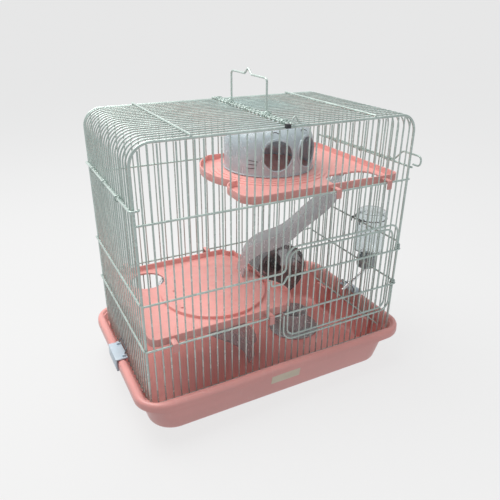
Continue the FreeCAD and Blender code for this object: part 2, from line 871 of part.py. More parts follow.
house_step_count = 3
upper_floor = front_rod_top - platform_floor_drop
upper_under = front_rod_top - platform_under
upper_rim = front_rod_top + platform_rim_rise
plateau_top = upper_floor + house_step_count * step_rise
hook_x_upper = (upper_end - upper_hook_inner, upper_end - upper_hook_outer)


def upper_platform():
    outer = upper_body(upper_under, upper_rim, 0.0)
    inner = upper_body(upper_floor, upper_rim + 1, platform_wall)
    shell = outer.cut(inner)
    steps = [s.common(outer) for s in house_steps(upper_floor, house_step_count)]
    corners = ((ramp_hole_left, ramp_hole_back, ramp_hole_r), (ramp_hole_right, ramp_hole_back, ramp_hole_r))
    hole = rounded_block(
        ramp_hole_left, ramp_hole_right, ramp_hole_front, ramp_hole_back,
        upper_under - 1, upper_rim + 1, corners,
    )
    hooks = []
    for x in hook_x_upper:
        hooks += platform_hook(gap_x(x), front_rod_y, front_rod_top, upper_rim, upper_under)
        hooks += platform_hook(gap_x(x), -front_rod_y, front_rod_top, upper_rim, upper_under)
    return fused([shell] + steps).cut(hole).fuse(hooks)


lower_end = -half_w + platform_end_gap
lower_right = lower_end + lower_length
disc_x = lower_end + disc_from_end
front_lobe_y = -platform_half_depth + lobe_r - front_lobe_out
back_lobe_y = platform_half_depth - lobe_r + back_lobe_out
lobe_centers = (
    (lower_end + front_lobe_from_end, front_lobe_y), (lower_end + back_lobe_from_end, back_lobe_y),
)
hook_x_lower = (lower_end + lower_hook_outer, lower_end + lower_hook_inner)
lower_floor = front_rod_low - platform_floor_drop
lower_under = front_rod_low - platform_under
lower_rim = front_rod_low + platform_rim_rise
disc_top = lower_floor + disc_rise
round_hole_x = lower_end + round_hole_from_end
round_hole_y = platform_half_depth - round_hole_r - round_hole_back_room


def lower_body(z0, z1, inset):
    depth = platform_half_depth - inset
    left = lower_end + inset
    corner = end_corner_r - inset
    main = rounded_block(
        left, lower_right - inset, -depth, depth, z0, z1, ((left, -depth, corner), (left, depth, corner))
    )
    lobes = [clipped_disc(x, y, lobe_r - inset, z0, z1, depth) for x, y in lobe_centers]
    cut_x = lower_right - inset - lobe_cut
    cut_back = box(cut_x, lower_right, depth - lobe_cut, depth, z0, z1)
    cut_front = box(cut_x, lower_right, -depth, -depth + lobe_cut, z0, z1)
    return fused([main.cut(cut_back).cut(cut_front)] + lobes)


def lower_platform():
    outer = lower_body(lower_under, lower_rim, 0.0)
    inner = lower_body(lower_floor, lower_rim + 1, platform_wall)
    shell = outer.cut(inner)
    disc = Part.makeCylinder(disc_r, disc_rise + 1, V(disc_x, disc_y, lower_floor - 1)).common(outer)
    drill = disc_top - lower_under + 2
    holes = [Part.makeCylinder(round_hole_r, drill, V(round_hole_x, round_hole_y, lower_under - 1))]
    for x, y in ((disc_x - 60, disc_y + 20), (disc_x - 66, disc_y - 34), (disc_x + 64, disc_y + 31)):
        holes.append(Part.makeCylinder(vent_r, drill, V(x, y, lower_under - 1)))
    hooks = []
    for x in hook_x_lower:
        hooks += platform_hook(gap_x(x), front_rod_y, front_rod_low, lower_rim, lower_under)
        hooks += platform_hook(gap_x(x), -front_rod_y, back_rod_low, lower_rim, lower_under)
    return fused([shell, disc]).cut(holes).fuse(hooks)


# ---- house ----
def dome_profile(r, height, base):
    """Upright wall that rounds over into a nearly flat crown."""
    crown = Part.BezierCurve()
    crown.setPoles([
        V(r, 0, height * 0.42), V(r, 0, height * 0.82), V(r * 0.8, 0, height), V(0, 0, height),
    ])
    return [
        Part.makeLine(V(0, 0, base), V(r, 0, base)), Part.makeLine(V(r, 0, base), V(r, 0, height * 0.42)),
        crown.toShape(), Part.makeLine(V(0, 0, height), V(0, 0, base)),
    ]


def house_dome():
    base = plateau_top + rest_gap
    center = V(house_x, house_y, base)
    outer = revolved(dome_profile(house_r, house_height, 0), center)
    inner = revolved(dome_profile(house_r - house_wall, house_height - house_wall, -1), center)
    proud = revolved(dome_profile(house_r + eye_proud, house_height + eye_proud, 0), center)
    shell = outer.cut(inner)
    for side in (-1, 1):
        angle = radians(face_turn + side * eye_half_angle)
        look = V(cos(angle), sin(angle), 0)
        start = center + V(0, 0, eye_height) + look * (house_r / 2)
        tube = Part.makeCylinder(eye_r + eye_rim, house_r, start, look)
        hole = Part.makeCylinder(eye_r, house_r, start, look)
        eyelet = proud.cut(inner).common(tube)
        shell = shell.fuse(eyelet).cut(hole)
    return shell


# ---- ramps ----
ramp_shape = (  # share of the run, share of the drop, along the channel's floor
    (-0.02, 1.0), (0.02, 0.86), (0.31, 0.58), (0.575, 0.36), (0.82, 0.26), (0.95, 0.15), (1.0, 0.0),
)


def ramp(top, foot):
    """A moulded slide: an open channel that falls in an S from a platform's hole to its foot."""
    drop = top.z - foot.z
    run = V(foot.x - top.x, foot.y - top.y, 0)
    shift = V(ramp_channel * 0.49, 0, ramp_channel * 0.87)
    far = run.Length + ramp_channel * 3

    def band(start, end, width):
        first = [V(s * run.Length, 0, h * drop) + shift * start for s, h in ramp_shape]
        last = [V(s * run.Length, 0, h * drop) + shift * end for s, h in ramp_shape]
        under = Part.BSplineCurve()
        under.interpolate(first)
        over = Part.BSplineCurve()
        over.interpolate(last[::-1])
        outline = Part.Wire([
            under.toShape(), Part.makeLine(first[-1], last[-1]),
            over.toShape(), Part.makeLine(last[0], first[0]),
        ])
        face = Part.Face(outline)
        face.translate(V(0, -width / 2, 0))
        return face.extrude(V(0, width, 0))

    wall_share = ramp_wall / ramp_channel
    body = band(0.0, 1.0, ramp_width)
    channel = band(wall_share, 2.0, ramp_width - 2 * ramp_wall)
    above = box(-far, far, -ramp_width, ramp_width, drop, drop + far)
    below = box(-far, far, -ramp_width, ramp_width, -far, 0)
    half = ramp_width / 2
    inner = half - ramp_wall
    back = -ramp_flange_back
    front = ramp_flange_front
    flange = box(back, front, -half - ramp_lug, half + ramp_lug, drop - ramp_wall, drop)
    opening = box(back + ramp_wall, front - ramp_wall, -half, half, drop - 3 * ramp_wall, drop + 1)
    mouth = box(0, front - ramp_wall, -inner, inner, drop - 4 * ramp_wall, drop + 1)
    whole = fused([body.cut(channel).cut(above).cut(below), flange.cut(opening)]).cut(mouth)
    whole.rotate(V(0, 0, 0), V(0, 0, 1), degrees(atan2(run.y, run.x)))
    whole.translate(V(top.x, top.y, foot.z))
    return whole


def upper_ramp():
    top_y = ramp_hole_front + ramp_width / 2 + upper_ramp_room
    top = V(ramp_hole_left + ramp_inset, top_y, upper_under - touch_gap)
    foot = V(disc_x + upper_foot_x, disc_y + upper_foot_y, disc_top + touch_gap)
    return ramp(top, foot)


def lower_ramp():
    top = V(round_hole_x + ramp_inset, round_hole_y - lower_ramp_shift, lower_under - touch_gap)
    foot = V(lower_right - lower_foot_x, lower_foot_y, tray_floor_z + touch_gap)
    return ramp(top, foot)


# ---- bowl ----
bowl_x = half_w - bowl_side_room


def food_bowl():
    base = tray_floor_z + rest_gap
    foot = bowl_foot
    points = [
        (0, 0), (bowl_foot_r, 0), (bowl_foot_r, foot), (bowl_r + 1, foot), (bowl_r, bowl_height),
        (bowl_r - bowl_wall, bowl_height), (bowl_r - bowl_wall - 1, foot + 1), (0, foot + 1),
    ]
    return revolved(turned_outline(points), V(bowl_x, bowl_y, base))


# ---- wheel ----
wheel_x = bar_x(bays_long - wheel_bay)
plate_back = half_d - wire_r - rest_gap
plate_front = plate_back - bearing_plate_thick
wheel_back = plate_front - wheel_end_gap
wheel_front = wheel_back - wheel_depth
axle_front = wheel_back - hub_depth - axle_play - axle_cap_thick


def disc_y_axis(x, z, r, y0, y1):
    return Part.makeCylinder(r, y1 - y0, V(x, y0, z), V(0, 1, 0))


def wheel_drum():
    x, z = wheel_x, wheel_height
    drum = disc_y_axis(x, z, wheel_r, wheel_front, wheel_back)
    hollow = disc_y_axis(x, z, wheel_r - wheel_wall, wheel_front - 1, wheel_back - wheel_wall)
    lip = disc_y_axis(x, z, wheel_r - wheel_wall / 2, wheel_front, wheel_front + wheel_wall)
    mouth = disc_y_axis(x, z, wheel_r - 4 * wheel_wall, wheel_front - 1, wheel_back)
    hub = disc_y_axis(x, z, hub_r, wheel_back - hub_depth, wheel_back)
    rungs = []
    for k in range(wheel_rungs):
        turn = 2 * pi * k / wheel_rungs
        r = wheel_r - wheel_wall - rung_drop
        rung_x = x + r * cos(turn)
        rung_z = z + r * sin(turn)
        rungs.append(disc_y_axis(rung_x, rung_z, rung_r, wheel_front + 0.5, wheel_back - 0.5))
    bore = disc_y_axis(x, z, axle_r + axle_play, wheel_front, wheel_back + 1)
    skin = disc_y_axis(x, z, wheel_r, wheel_front, wheel_back)
    rungs = [r.common(skin) for r in rungs]
    return fused([drum.cut(hollow), lip.cut(mouth), hub] + rungs).cut(bore)


def wheel_axle():
    return disc_y_axis(wheel_x, wheel_height, axle_r, axle_front, half_d + wire_r + axle_end)


def wheel_cap():
    back = axle_front + axle_cap_thick
    cap = disc_y_axis(wheel_x, wheel_height, axle_cap_r, axle_front - axle_cap_thick, back)
    return cap.cut(disc_y_axis(wheel_x, wheel_height, axle_r, axle_front, back + 1))


def wheel_plate():
    plate = disc_y_axis(wheel_x, wheel_height, bearing_plate_r, plate_front, plate_back)
    return plate.cut(disc_y_axis(wheel_x, wheel_height, axle_r, plate_front - 1, plate_back + 1))


def wheel_nut():
    y = half_d + wire_r + rest_gap
    nut = disc_y_axis(wheel_x, wheel_height, wheel_nut_r, y, y + wheel_nut_thick)
    return nut.cut(disc_y_axis(wheel_x, wheel_height, axle_r, y - 1, y + wheel_nut_thick + 1))


# ---- water bottle ----
bottle_x = half_w + rod_offset + rod_r + bottle_gap + bottle_r
bottle_y = bar_y(bottle_bay)
neck_bottom = bottle_bottom + cap_floor + neck_lift
shoulder_z = bottle_bottom + bottle_cap_height + bottle_shoulder
bottle_top = bottle_bottom + bottle_cap_height + bottle_length


def bottle_outline(inset):
    """Half of the bottle's upright section, moved in by an inset."""
    top = bottle_top - inset
    wide = bottle_r - inset
    low = neck_bottom - (1 if inset else 0)
    return turned_outline([
        (0, low), (neck_r - inset, low), (neck_r - inset, shoulder_z - bottle_crown + inset / 2),
        (wide, shoulder_z + inset / 2), (wide, bottle_top - bottle_crown - inset / 2),
        (wide - bottle_chamfer, top - bottle_chamfer), (wide - bottle_crown, top), (0, top),
    ])


def bottle_body():
    place = V(bottle_x, bottle_y, 0)
    return revolved(bottle_outline(0), place).cut(revolved(bottle_outline(bottle_wall), place))


def bottle_cap():
    top = bottle_bottom + bottle_cap_height - 2.0
    floor = bottle_bottom + cap_floor
    bore = neck_r + neck_play
    points = [
        (nozzle_r, bottle_bottom), (cap_r, bottle_bottom), (cap_r, top), (bore, top), (bore, floor),
        (nozzle_r, floor),
    ]
    return revolved(turned_outline(points), V(bottle_x, bottle_y, 0))


nozzle_points = [
    V(bottle_x, bottle_y, bottle_bottom + cap_floor),
    V(bottle_x, bottle_y, bottle_bottom - nozzle_drop),
    V(bottle_x - nozzle_reach, bottle_y, bottle_bottom - nozzle_drop - nozzle_fall),
]
nozzle_dir = (nozzle_points[2] - nozzle_points[1]).normalize()


def bottle_nozzle():
    tube = bent_rod(nozzle_points, nozzle_bend_r, nozzle_r)
    start = nozzle_points[0] + V(0, 0, 1)
    stop = nozzle_points[2] - nozzle_dir * nozzle_lip
    bore = bent_rod([start, nozzle_points[1], stop], nozzle_bend_r, nozzle_bore)
    mouth = rod(stop - nozzle_dir, nozzle_points[2] + nozzle_dir, nozzle_lip_bore)
    return tube.cut(bore).cut(mouth)


def nozzle_ball():
    back = nozzle_lip + sqrt(ball_r ** 2 - nozzle_lip_bore ** 2) + ball_play
    return Part.makeSphere(ball_r, nozzle_points[2] - nozzle_dir * back)


def bottle_hanger():
    """A wire band round the bottle with two arms that hook over the side rod."""
    loop_r = bottle_r + hanger_r + hanger_play
    over = side_rod_mid + rod_r + rest_gap + hanger_r
    band_z = over - hanger_drop
    inner = half_w - wire_r
    band = ring(V(bottle_x, bottle_y, band_z), V(0, 0, 1), loop_r, hanger_r)
    arms = []
    for bay in (bottle_bay - 1, bottle_bay + 1):
        y = bar_y(bay)
        x = bottle_x - sqrt(loop_r ** 2 - (y - bottle_y) ** 2)
        points = [V(x, y, band_z), V(x - 1, y, over), V(inner, y, over), V(inner, y, over - hanger_leg)]
        arms.append(bent_rod(points, [1.4, 2.0], hanger_r))
    return fused([band] + arms)


# ---- build ----
def build():
    export("base_tray", base_tray())
    export("tray_label", tray_label())
    for side, name in ((-1, "left"), (1, "right")):
        export(name + "_side_grille", side_grille(side))
        export(name + "_tie_rod", tie_rod(side))
        export(name + "_corner_bends", corner_bends(side))
        export(name + "_roof_grille", roof_grille(side))
        export(name + "_tray_latch", tray_latch(side))
        export(name + "_latch_bail", latch_bail(side))
        export(name + "_tie_eyes", Part.makeCompound(tie_eyes(side)))
    export("left_tie_hook", left_tie_hook())
    export("right_tie_hook", right_tie_hook())
    export("back_grille", back_grille())
    export("front_border_wire", border_wire(-post_y))
    export("front_grille_left", front_grille_left())
    export("front_grille_upper", front_grille_upper())
    export("front_grille_lower", front_grille_lower())
    export("door_arch_wire", door_arch_wire())
    export("door_sill_wire", door_sill_wire())
    export("latch_post_wire", latch_post_wire())
    leaf, upper, lower = door_leaf()
    export("door_grille", leaf)
    export("door_upper_rod", upper)
    export("door_lower_rod", lower)
    export("roof_joint_rings", Part.makeCompound([joint_ring(y) for y in ring_y]))
    export("handle_rings", Part.makeCompound([joint_ring(-handle_ring_y), joint_ring(handle_ring_y)]))
    export("roof_catch", roof_catch())
    export("carry_handle", carry_handle())
    export("upper_platform", upper_platform())
    export("lower_platform", lower_platform())
    export("house_dome", house_dome())
    export("upper_ramp", upper_ramp())
    export("lower_ramp", lower_ramp())
    export("food_bowl", food_bowl())
    export("wheel_drum", wheel_drum())
    export("wheel_axle", wheel_axle())
    export("wheel_cap", wheel_cap())
    export("wheel_plate", wheel_plate())
    export("wheel_nut", wheel_nut())
    export("bottle_body", bottle_body())
    export("bottle_cap", bottle_cap())
    export("bottle_nozzle", bottle_nozzle())
    export("nozzle_ball", nozzle_ball())
    export("bottle_hanger", bottle_hanger())


build()
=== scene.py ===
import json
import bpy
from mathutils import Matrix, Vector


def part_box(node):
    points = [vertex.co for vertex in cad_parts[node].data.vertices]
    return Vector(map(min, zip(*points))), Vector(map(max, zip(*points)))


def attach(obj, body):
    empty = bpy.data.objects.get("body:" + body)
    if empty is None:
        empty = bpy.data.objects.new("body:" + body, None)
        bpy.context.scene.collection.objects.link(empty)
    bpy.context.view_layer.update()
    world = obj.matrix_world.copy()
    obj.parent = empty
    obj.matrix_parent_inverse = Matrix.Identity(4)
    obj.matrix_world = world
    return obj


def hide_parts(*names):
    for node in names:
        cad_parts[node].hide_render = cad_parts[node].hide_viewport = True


bl_info = {
    "name": "Hamster Cage Builder",
    "version": (1, 0, 0),
    "blender": (4, 5, 0),
    "location": "View3D > Sidebar > Cage",
    "description": "Builds the looks of a three-level wire hamster cage around its fixed frame",
    "category": "Object",
}

from math import cos, pi, radians, sin, sqrt, tau

import bmesh
import bpy
from mathutils import Matrix, Vector

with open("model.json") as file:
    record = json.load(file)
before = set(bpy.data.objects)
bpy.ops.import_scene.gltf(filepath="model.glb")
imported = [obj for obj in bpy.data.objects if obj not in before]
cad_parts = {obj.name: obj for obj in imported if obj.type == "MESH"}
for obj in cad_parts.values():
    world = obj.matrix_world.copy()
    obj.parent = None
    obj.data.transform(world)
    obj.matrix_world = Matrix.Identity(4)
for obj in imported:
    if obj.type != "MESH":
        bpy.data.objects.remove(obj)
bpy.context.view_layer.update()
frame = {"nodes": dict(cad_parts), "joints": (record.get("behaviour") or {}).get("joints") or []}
MM = 0.001

# Places of the wire cage that the frame doesn't give by themselves
HALF_W = 215 * MM
HALF_D = 122 * MM
BARS_LONG = 38
BARS_DEEP = 22
ROOF_Z = 432 * MM
WELD_LIFT = 1.15 * MM  # from a bar's axis to the middle of a weld
ROOF_ROD_Z = 434.35 * MM  # the two middle rods on the roof
ROOF_ROD_X = 3.2 * MM
SEAT_Y = 65 * MM  # middle of each ledge in the tray
SEAT_TOP = 54 * MM
HOUSE_Y = 28 * MM
DOORWAY_R = 22.5 * MM
DOORWAY_HEIGHT = 33 * MM
STRAIGHT_SHARE = 0.42  # the part of the house's wall that is upright
VIEW_TURN = 27.79  # degrees that the view and the backdrop are turned by


def low(node):
    return Vector(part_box(node)[0])


def high(node):
    return Vector(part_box(node)[1])


# ---- settings that a user would change ----
class CageColours(bpy.types.PropertyGroup):
    plastic: bpy.props.FloatVectorProperty(
        name="Plastic", description="Moulded tray and platforms", subtype="COLOR",
        size=3, min=0, max=1, default=(0.85, 0.40, 0.37),
    )
    wire: bpy.props.FloatVectorProperty(
        name="Wire", description="Coating of the bars and rods", subtype="COLOR",
        size=3, min=0, max=1, default=(0.56, 0.66, 0.62),
    )
    milky: bpy.props.FloatVectorProperty(
        name="Milky plastic", description="House, slides and bowl", subtype="COLOR",
        size=3, min=0, max=1, default=(0.72, 0.82, 0.87),
    )
    clip: bpy.props.FloatVectorProperty(
        name="Clip", description="Tray clips", subtype="COLOR",
        size=3, min=0, max=1, default=(0.56, 0.66, 0.74),
    )
    smoke: bpy.props.FloatVectorProperty(
        name="Smoke plastic", description="Running wheel", subtype="COLOR",
        size=3, min=0, max=1, default=(0.50, 0.50, 0.51),
    )
    paper: bpy.props.FloatVectorProperty(
        name="Label", description="Blank paper label", subtype="COLOR",
        size=3, min=0, max=1, default=(0.80, 0.70, 0.55),
    )


class CageSizes(bpy.types.PropertyGroup):
    rim_wave: bpy.props.FloatProperty(
        name="Rim wave", description="Rise and fall of the tray's long rims", unit="LENGTH",
        min=0, max=0.006, default=0.0032,
    )
    edge_round: bpy.props.FloatProperty(
        name="Edge rounding", description="Rounding of the moulded edges", unit="LENGTH",
        min=0.0002, max=0.0015, default=0.0009,
    )
    coil_wire: bpy.props.FloatProperty(
        name="Coil wire", description="Radius of the hinge coils' wire", unit="LENGTH",
        min=0.0005, max=0.002, default=0.0011,
    )
    weld_size: bpy.props.FloatProperty(
        name="Weld", description="Radius of the welds where rods cross bars", unit="LENGTH",
        min=0.0005, max=0.002, default=0.0014,
    )
    cap_ribs: bpy.props.IntProperty(
        name="Cap ribs", description="Grip ribs round the bottle's cap", min=8, max=60, default=36,
    )
    key_light: bpy.props.FloatProperty(
        name="Key light", description="Power of the overhead light", unit="POWER",
        min=0, max=200, default=27.0,
    )


# ---- shader building ----
class Signal:
    """A shader socket that can be used in arithmetic."""

    def __init__(self, tree, socket):
        self.tree = tree
        self.socket = socket

    def _join(self, operation, first, second):
        node = self.tree.nodes.new("ShaderNodeMath")
        node.operation = operation
        for slot, item in zip(node.inputs, (first, second)):
            if isinstance(item, Signal):
                self.tree.links.new(item.socket, slot)
            else:
                slot.default_value = item
        return Signal(self.tree, node.outputs[0])

    def __add__(self, other):
        return self._join("ADD", self, other)

    def __radd__(self, other):
        return self._join("ADD", other, self)

    def __sub__(self, other):
        return self._join("SUBTRACT", self, other)

    def __rsub__(self, other):
        return self._join("SUBTRACT", other, self)

    def __mul__(self, other):
        return self._join("MULTIPLY", self, other)

    def __rmul__(self, other):
        return self._join("MULTIPLY", other, self)


class Finish:
    """A material whose nodes are added one at a time."""

    def __init__(self, name):
        self.material = bpy.data.materials.new(name)
        self.material.use_nodes = True
        self.tree = self.material.node_tree
        self.shader = self.tree.nodes["Principled BSDF"]
        self.spot = self.add("ShaderNodeTexCoord", out="Object")

    def add(self, kind, settings=None, out=0, **values):
        node = self.tree.nodes.new(kind)
        for key, value in (settings or {}).items():
            if key == "stops":
                ramp = node.color_ramp
                for stop, (place, colour) in zip(ramp.elements, value):
                    stop.position = place
                    stop.color = colour
            else:
                setattr(node, key, value)
        for key, value in values.items():
            slot = node.inputs[int(key[1:])] if key[1:].isdigit() else node.inputs[key.replace("_", " ")]
            if isinstance(value, Signal):
                self.tree.links.new(value.socket, slot)
            else:
                slot.default_value = value
        return Signal(self.tree, node.outputs[out])

    def noise(self, scale, detail=2.0, stretch=(1, 1, 1)):
        spot = self.add("ShaderNodeMapping", Vector=self.spot, Scale=stretch)
        return self.add("ShaderNodeTexNoise", Vector=spot, Scale=scale, Detail=detail)

    def ramp(self, signal, start, end):
        black = (0, 0, 0, 1)
        white = (1, 1, 1, 1)
        stops = [(start, black), (end, white)]
        return self.add("ShaderNodeValToRGB", {"stops": stops}, Fac=signal)

    def blend(self, factor, first, second):
        """Mixes two colours, each a triple or a signal."""
        values = {"i0": factor}
        for key, item in (("i6", first), ("i7", second)):
            values[key] = item if isinstance(item, Signal) else (*item, 1)
        return self.add("ShaderNodeMix", {"data_type": "RGBA"}, out=2, **values)

    def feed(self, **values):
        for key, value in values.items():
            slot = self.shader.inputs[key.replace("_", " ")]
            if isinstance(value, Signal):
                self.tree.links.new(value.socket, slot)
            elif slot.type == "RGBA":
                slot.default_value = (*value, 1)
            else:
                slot.default_value = value

    def bump(self, height, depth, strength=1.0):
        normal = self.add("ShaderNodeBump", Height=height, Distance=depth, Strength=strength)
        self.feed(Normal=normal)


def shade(colour, factor):
    return tuple(min(1.0, c * factor) for c in colour)


def painted_wire(name, colour):
    """Powder-coated steel: faint orange peel, thin spots and rubbed patches."""
    f = Finish(name)
    patch = f.ramp(f.noise(45.0, 3.0), 0.42, 0.68)
    rubbed = f.ramp(f.noise(160.0, 4.0), 0.62, 0.74)
    coat = f.blend(patch, shade(colour, 0.93), shade(colour, 1.08))
    f.feed(Base_Color=f.blend(rubbed * 0.35, coat, shade(colour, 1.3)))
    f.feed(Roughness=0.22 + patch * 0.12 + rubbed * 0.1, Metallic=0.3)
    f.feed(IOR=1.5, Coat_Weight=0.25, Coat_Roughness=0.15)
    f.bump(f.noise(1400.0, 1.0), 0.00006, 0.5)
    return f.material


def moulded_plastic(name, colour):
    """Glossy moulded plastic with flow marks, fine texture and light scuffs."""
    f = Finish(name)
    flow = f.ramp(f.noise(9.0, 4.0, (1, 1, 2.5)), 0.35, 0.7)
    speck = f.ramp(f.noise(420.0, 2.0), 0.68, 0.78)
    scuff = f.ramp(f.noise(60.0, 6.0, (6, 0.6, 1)), 0.6, 0.72)
    base = f.blend(flow, shade(colour, 0.95), shade(colour, 1.04))
    base = f.blend(scuff * 0.18, base, (0.93, 0.62, 0.58))
    f.feed(Base_Color=f.blend(speck * 0.25, base, shade(colour, 0.8)))
    f.feed(Roughness=0.3 + flow * 0.08 + scuff * 0.16, IOR=1.5)
    f.feed(Subsurface_Weight=0.12, Subsurface_Radius=(0.006, 0.0025, 0.002), Subsurface_Scale=1.0)
    grain = f.noise(900.0, 2.0) * 0.6 + f.noise(70.0, 3.0) * 0.8
    f.bump(grain, 0.00012, 0.6)
    return f.material


def milky_plastic(name, colour, clear, rough):
    """Cloudy translucent plastic, denser in patches, with fine scratches."""
    f = Finish(name)
    cloud = f.ramp(f.noise(22.0, 4.0), 0.35, 0.7)
    scratch = f.ramp(f.noise(90.0, 5.0, (8, 0.8, 1)), 0.63, 0.72)
    base = f.blend(cloud, shade(colour, 0.94), shade(colour, 1.06))
    f.feed(Base_Color=f.blend(scratch * 0.25, base, (0.93, 0.95, 0.97)))
    f.feed(Roughness=rough + cloud * 0.08 + scratch * 0.15, IOR=1.45)
    f.feed(Transmission_Weight=clear)
    f.bump(f.noise(500.0, 2.0), 0.0001, 0.4)
    return f.material


def dark_plastic(name, colour):
    f = Finish(name)
    mottle = f.ramp(f.noise(120.0, 3.0), 0.35, 0.7)
    f.feed(Base_Color=f.blend(mottle, shade(colour, 0.8), shade(colour, 1.3)))
    f.feed(Roughness=0.42 + mottle * 0.15)
    f.bump(f.noise(1100.0, 2.0), 0.0001, 0.5)
    return f.material


def bare_steel(name, colour, rough):
    """Drawn steel: fine lines along the wire and dull patches."""
    f = Finish(name)
    draw = f.noise(700.0, 3.0, (1, 1, 0.08))
    dull = f.ramp(f.noise(55.0, 3.0), 0.45, 0.7)
    f.feed(Base_Color=f.blend(dull, colour, shade(colour, 0.72)))
    f.feed(Roughness=rough + draw * 0.1 + dull * 0.15, Metallic=1.0)
    f.bump(draw, 0.00004, 0.5)
    return f.material


def paper_label(name, colour):
    """Blank label: paper fibre and faint stains."""
    f = Finish(name)
    fibre = f.noise(900.0, 4.0)
    stain = f.ramp(f.noise(30.0, 3.0), 0.45, 0.75)
    f.feed(Base_Color=f.blend(stain * 0.5, colour, shade(colour, 0.82)))
    f.feed(Roughness=0.55 + fibre * 0.1)
    f.bump(fibre, 0.00005, 0.4)
    return f.material


FINISHES = {}


def finish(name):
    """The materials, each made once from the colours in the panel."""
    colours = bpy.context.scene.cage_colours
    makers = {
        "pink plastic": lambda n: moulded_plastic(n, tuple(colours.plastic)),
        "mint wire": lambda n: painted_wire(n, tuple(colours.wire)),
        "milky plastic": lambda n: milky_plastic(n, tuple(colours.milky), 0.34, 0.2),
        "slide plastic": lambda n: milky_plastic(n, (0.86, 0.9, 0.92), 0.6, 0.22),
        "bottle plastic": lambda n: milky_plastic(n, (0.9, 0.95, 0.97), 0.92, 0.06),
        "clip plastic": lambda n: milky_plastic(n, tuple(colours.clip), 0.0, 0.3),
        "smoke plastic": lambda n: milky_plastic(n, tuple(colours.smoke), 0.7, 0.15),
        "cap plastic": lambda n: milky_plastic(n, (0.62, 0.66, 0.69), 0.45, 0.2),
        "dark plastic": lambda n: dark_plastic(n, (0.03, 0.03, 0.035)),
        "brow paint": lambda n: dark_plastic(n, (0.09, 0.08, 0.09)),
        "dark steel": lambda n: bare_steel(n, (0.22, 0.22, 0.23), 0.3),
        "bright steel": lambda n: bare_steel(n, (0.85, 0.85, 0.86), 0.08),
        "label paper": lambda n: paper_label(n, tuple(colours.paper)),
    }
    if name not in FINISHES:
        FINISHES[name] = makers[name](name)
    return FINISHES[name]


# ---- mesh helpers ----
def piece_from(name, mesh, material, body, replaced=()):
    """Puts a finished mesh in the scene, riding on its body."""
    mesh.name = name
    piece = bpy.data.objects.new(name, mesh)
    bpy.context.scene.collection.objects.link(piece)
    mesh.materials.clear()
    mesh.materials.append(finish(material))
    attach(piece, body)
    if replaced:
        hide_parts(*replaced)
    return piece


def smooth(mesh, angle=radians(35)):
    for polygon in mesh.polygons:
        polygon.use_smooth = True
    mesh.set_sharp_from_angle(angle=angle)


def mesh_of(bm, name):
    mesh = bpy.data.meshes.new(name)
    bm.to_mesh(mesh)
    bm.free()
    return mesh


def bake_object(holder):
    """The object's evaluated shape as a plain mesh; the object itself is removed."""
    graph = bpy.context.evaluated_depsgraph_get()
    mesh = bpy.data.meshes.new_from_object(holder.evaluated_get(graph), depsgraph=graph)
    bpy.data.objects.remove(holder)
    return mesh


def wire_mesh(name, runs, radius, order=3, closed=False, steps=6, sides=8):
    """Round wire along smooth runs of points."""
    curve = bpy.data.curves.new(name, "CURVE")
    curve.dimensions = "3D"
    curve.bevel_depth = radius
    curve.bevel_resolution = max(0, sides // 4 - 1) + 1
    curve.resolution_u = steps
    curve.use_fill_caps = True
    for points in runs:
        spline = curve.splines.new("NURBS")
        spline.points.add(len(points) - 1)
        for knot, place in zip(spline.points, points):
            knot.co = (*place, 1)
        spline.use_cyclic_u = closed
        spline.use_endpoint_u = not closed
        spline.order_u = order
    holder = bpy.data.objects.new(name, curve)
    bpy.context.scene.collection.objects.link(holder)
    return bake_object(holder)


def helix(centre, axis, side, radius, turns, rise, start=0.0, per_turn=10):
    """Points of a coil about an axis, starting towards side."""
    axis = axis.normalized()
    side = side.normalized()
    other = axis.cross(side)
    count = round(turns * per_turn)
    points = []
    for k in range(count + 1):
        turn = start + tau * turns * k / count
        lift = axis * (rise * k / count)
        points.append(centre + lift + side * (radius * cos(turn)) + other * (radius * sin(turn)))
    return points


def softened(node, name, material, body, width, segments=2):
    """A copy of a moulded part with its sharp edges rounded."""
    source = frame["nodes"][node]
    bm = bmesh.new()
    bm.from_mesh(source.data)
    bmesh.ops.remove_doubles(bm, verts=bm.verts, dist=2e-6)
    bmesh.ops.dissolve_limit(
        bm, angle_limit=radians(0.5), verts=bm.verts, edges=bm.edges, delimit={"NORMAL"}
    )
    holder = bpy.data.objects.new(name, mesh_of(bm, name))
    bpy.context.scene.collection.objects.link(holder)
    bevel = holder.modifiers.new("round", "BEVEL")
    bevel.width = width
    bevel.segments = segments
    bevel.limit_method = "ANGLE"
    bevel.angle_limit = radians(40)
    bevel.use_clamp_overlap = True
    bevel.harden_normals = False
    mesh = bake_object(holder)
    smooth(mesh, radians(40))
    return piece_from(name, mesh, material, body, (node,))


def ring_loop(half_x, half_y, corner, z, per_corner, wave=0.0):
    """Points of a rounded rectangle at one height, anticlockwise from +X."""
    points = []
    for quarter in range(4):
        sx = 1 if quarter in (0, 3) else -1
        sy = 1 if quarter in (0, 1) else -1
        cx = sx * (half_x - corner)
        cy = sy * (half_y - corner)
        for k in range(per_corner + 1):
            turn = quarter * pi / 2 + pi / 2 * k / per_corner
            points.append(Vector((cx + corner * cos(turn), cy + corner * sin(turn), z)))
    return points


# ---- geometry node helpers ----
def node_group(name, inputs):
    """A new geometry tree with named inputs; returns the tree, its input node and output node."""
    tree = bpy.data.node_groups.new(name, "GeometryNodeTree")
    tree.interface.new_socket("Geometry", in_out="INPUT", socket_type="NodeSocketGeometry")
    for label, kind in inputs:
        tree.interface.new_socket(label, in_out="INPUT", socket_type=kind)
    tree.interface.new_socket("Geometry", in_out="OUTPUT", socket_type="NodeSocketGeometry")
    return tree, tree.nodes.new("NodeGroupInput"), tree.nodes.new("NodeGroupOutput")


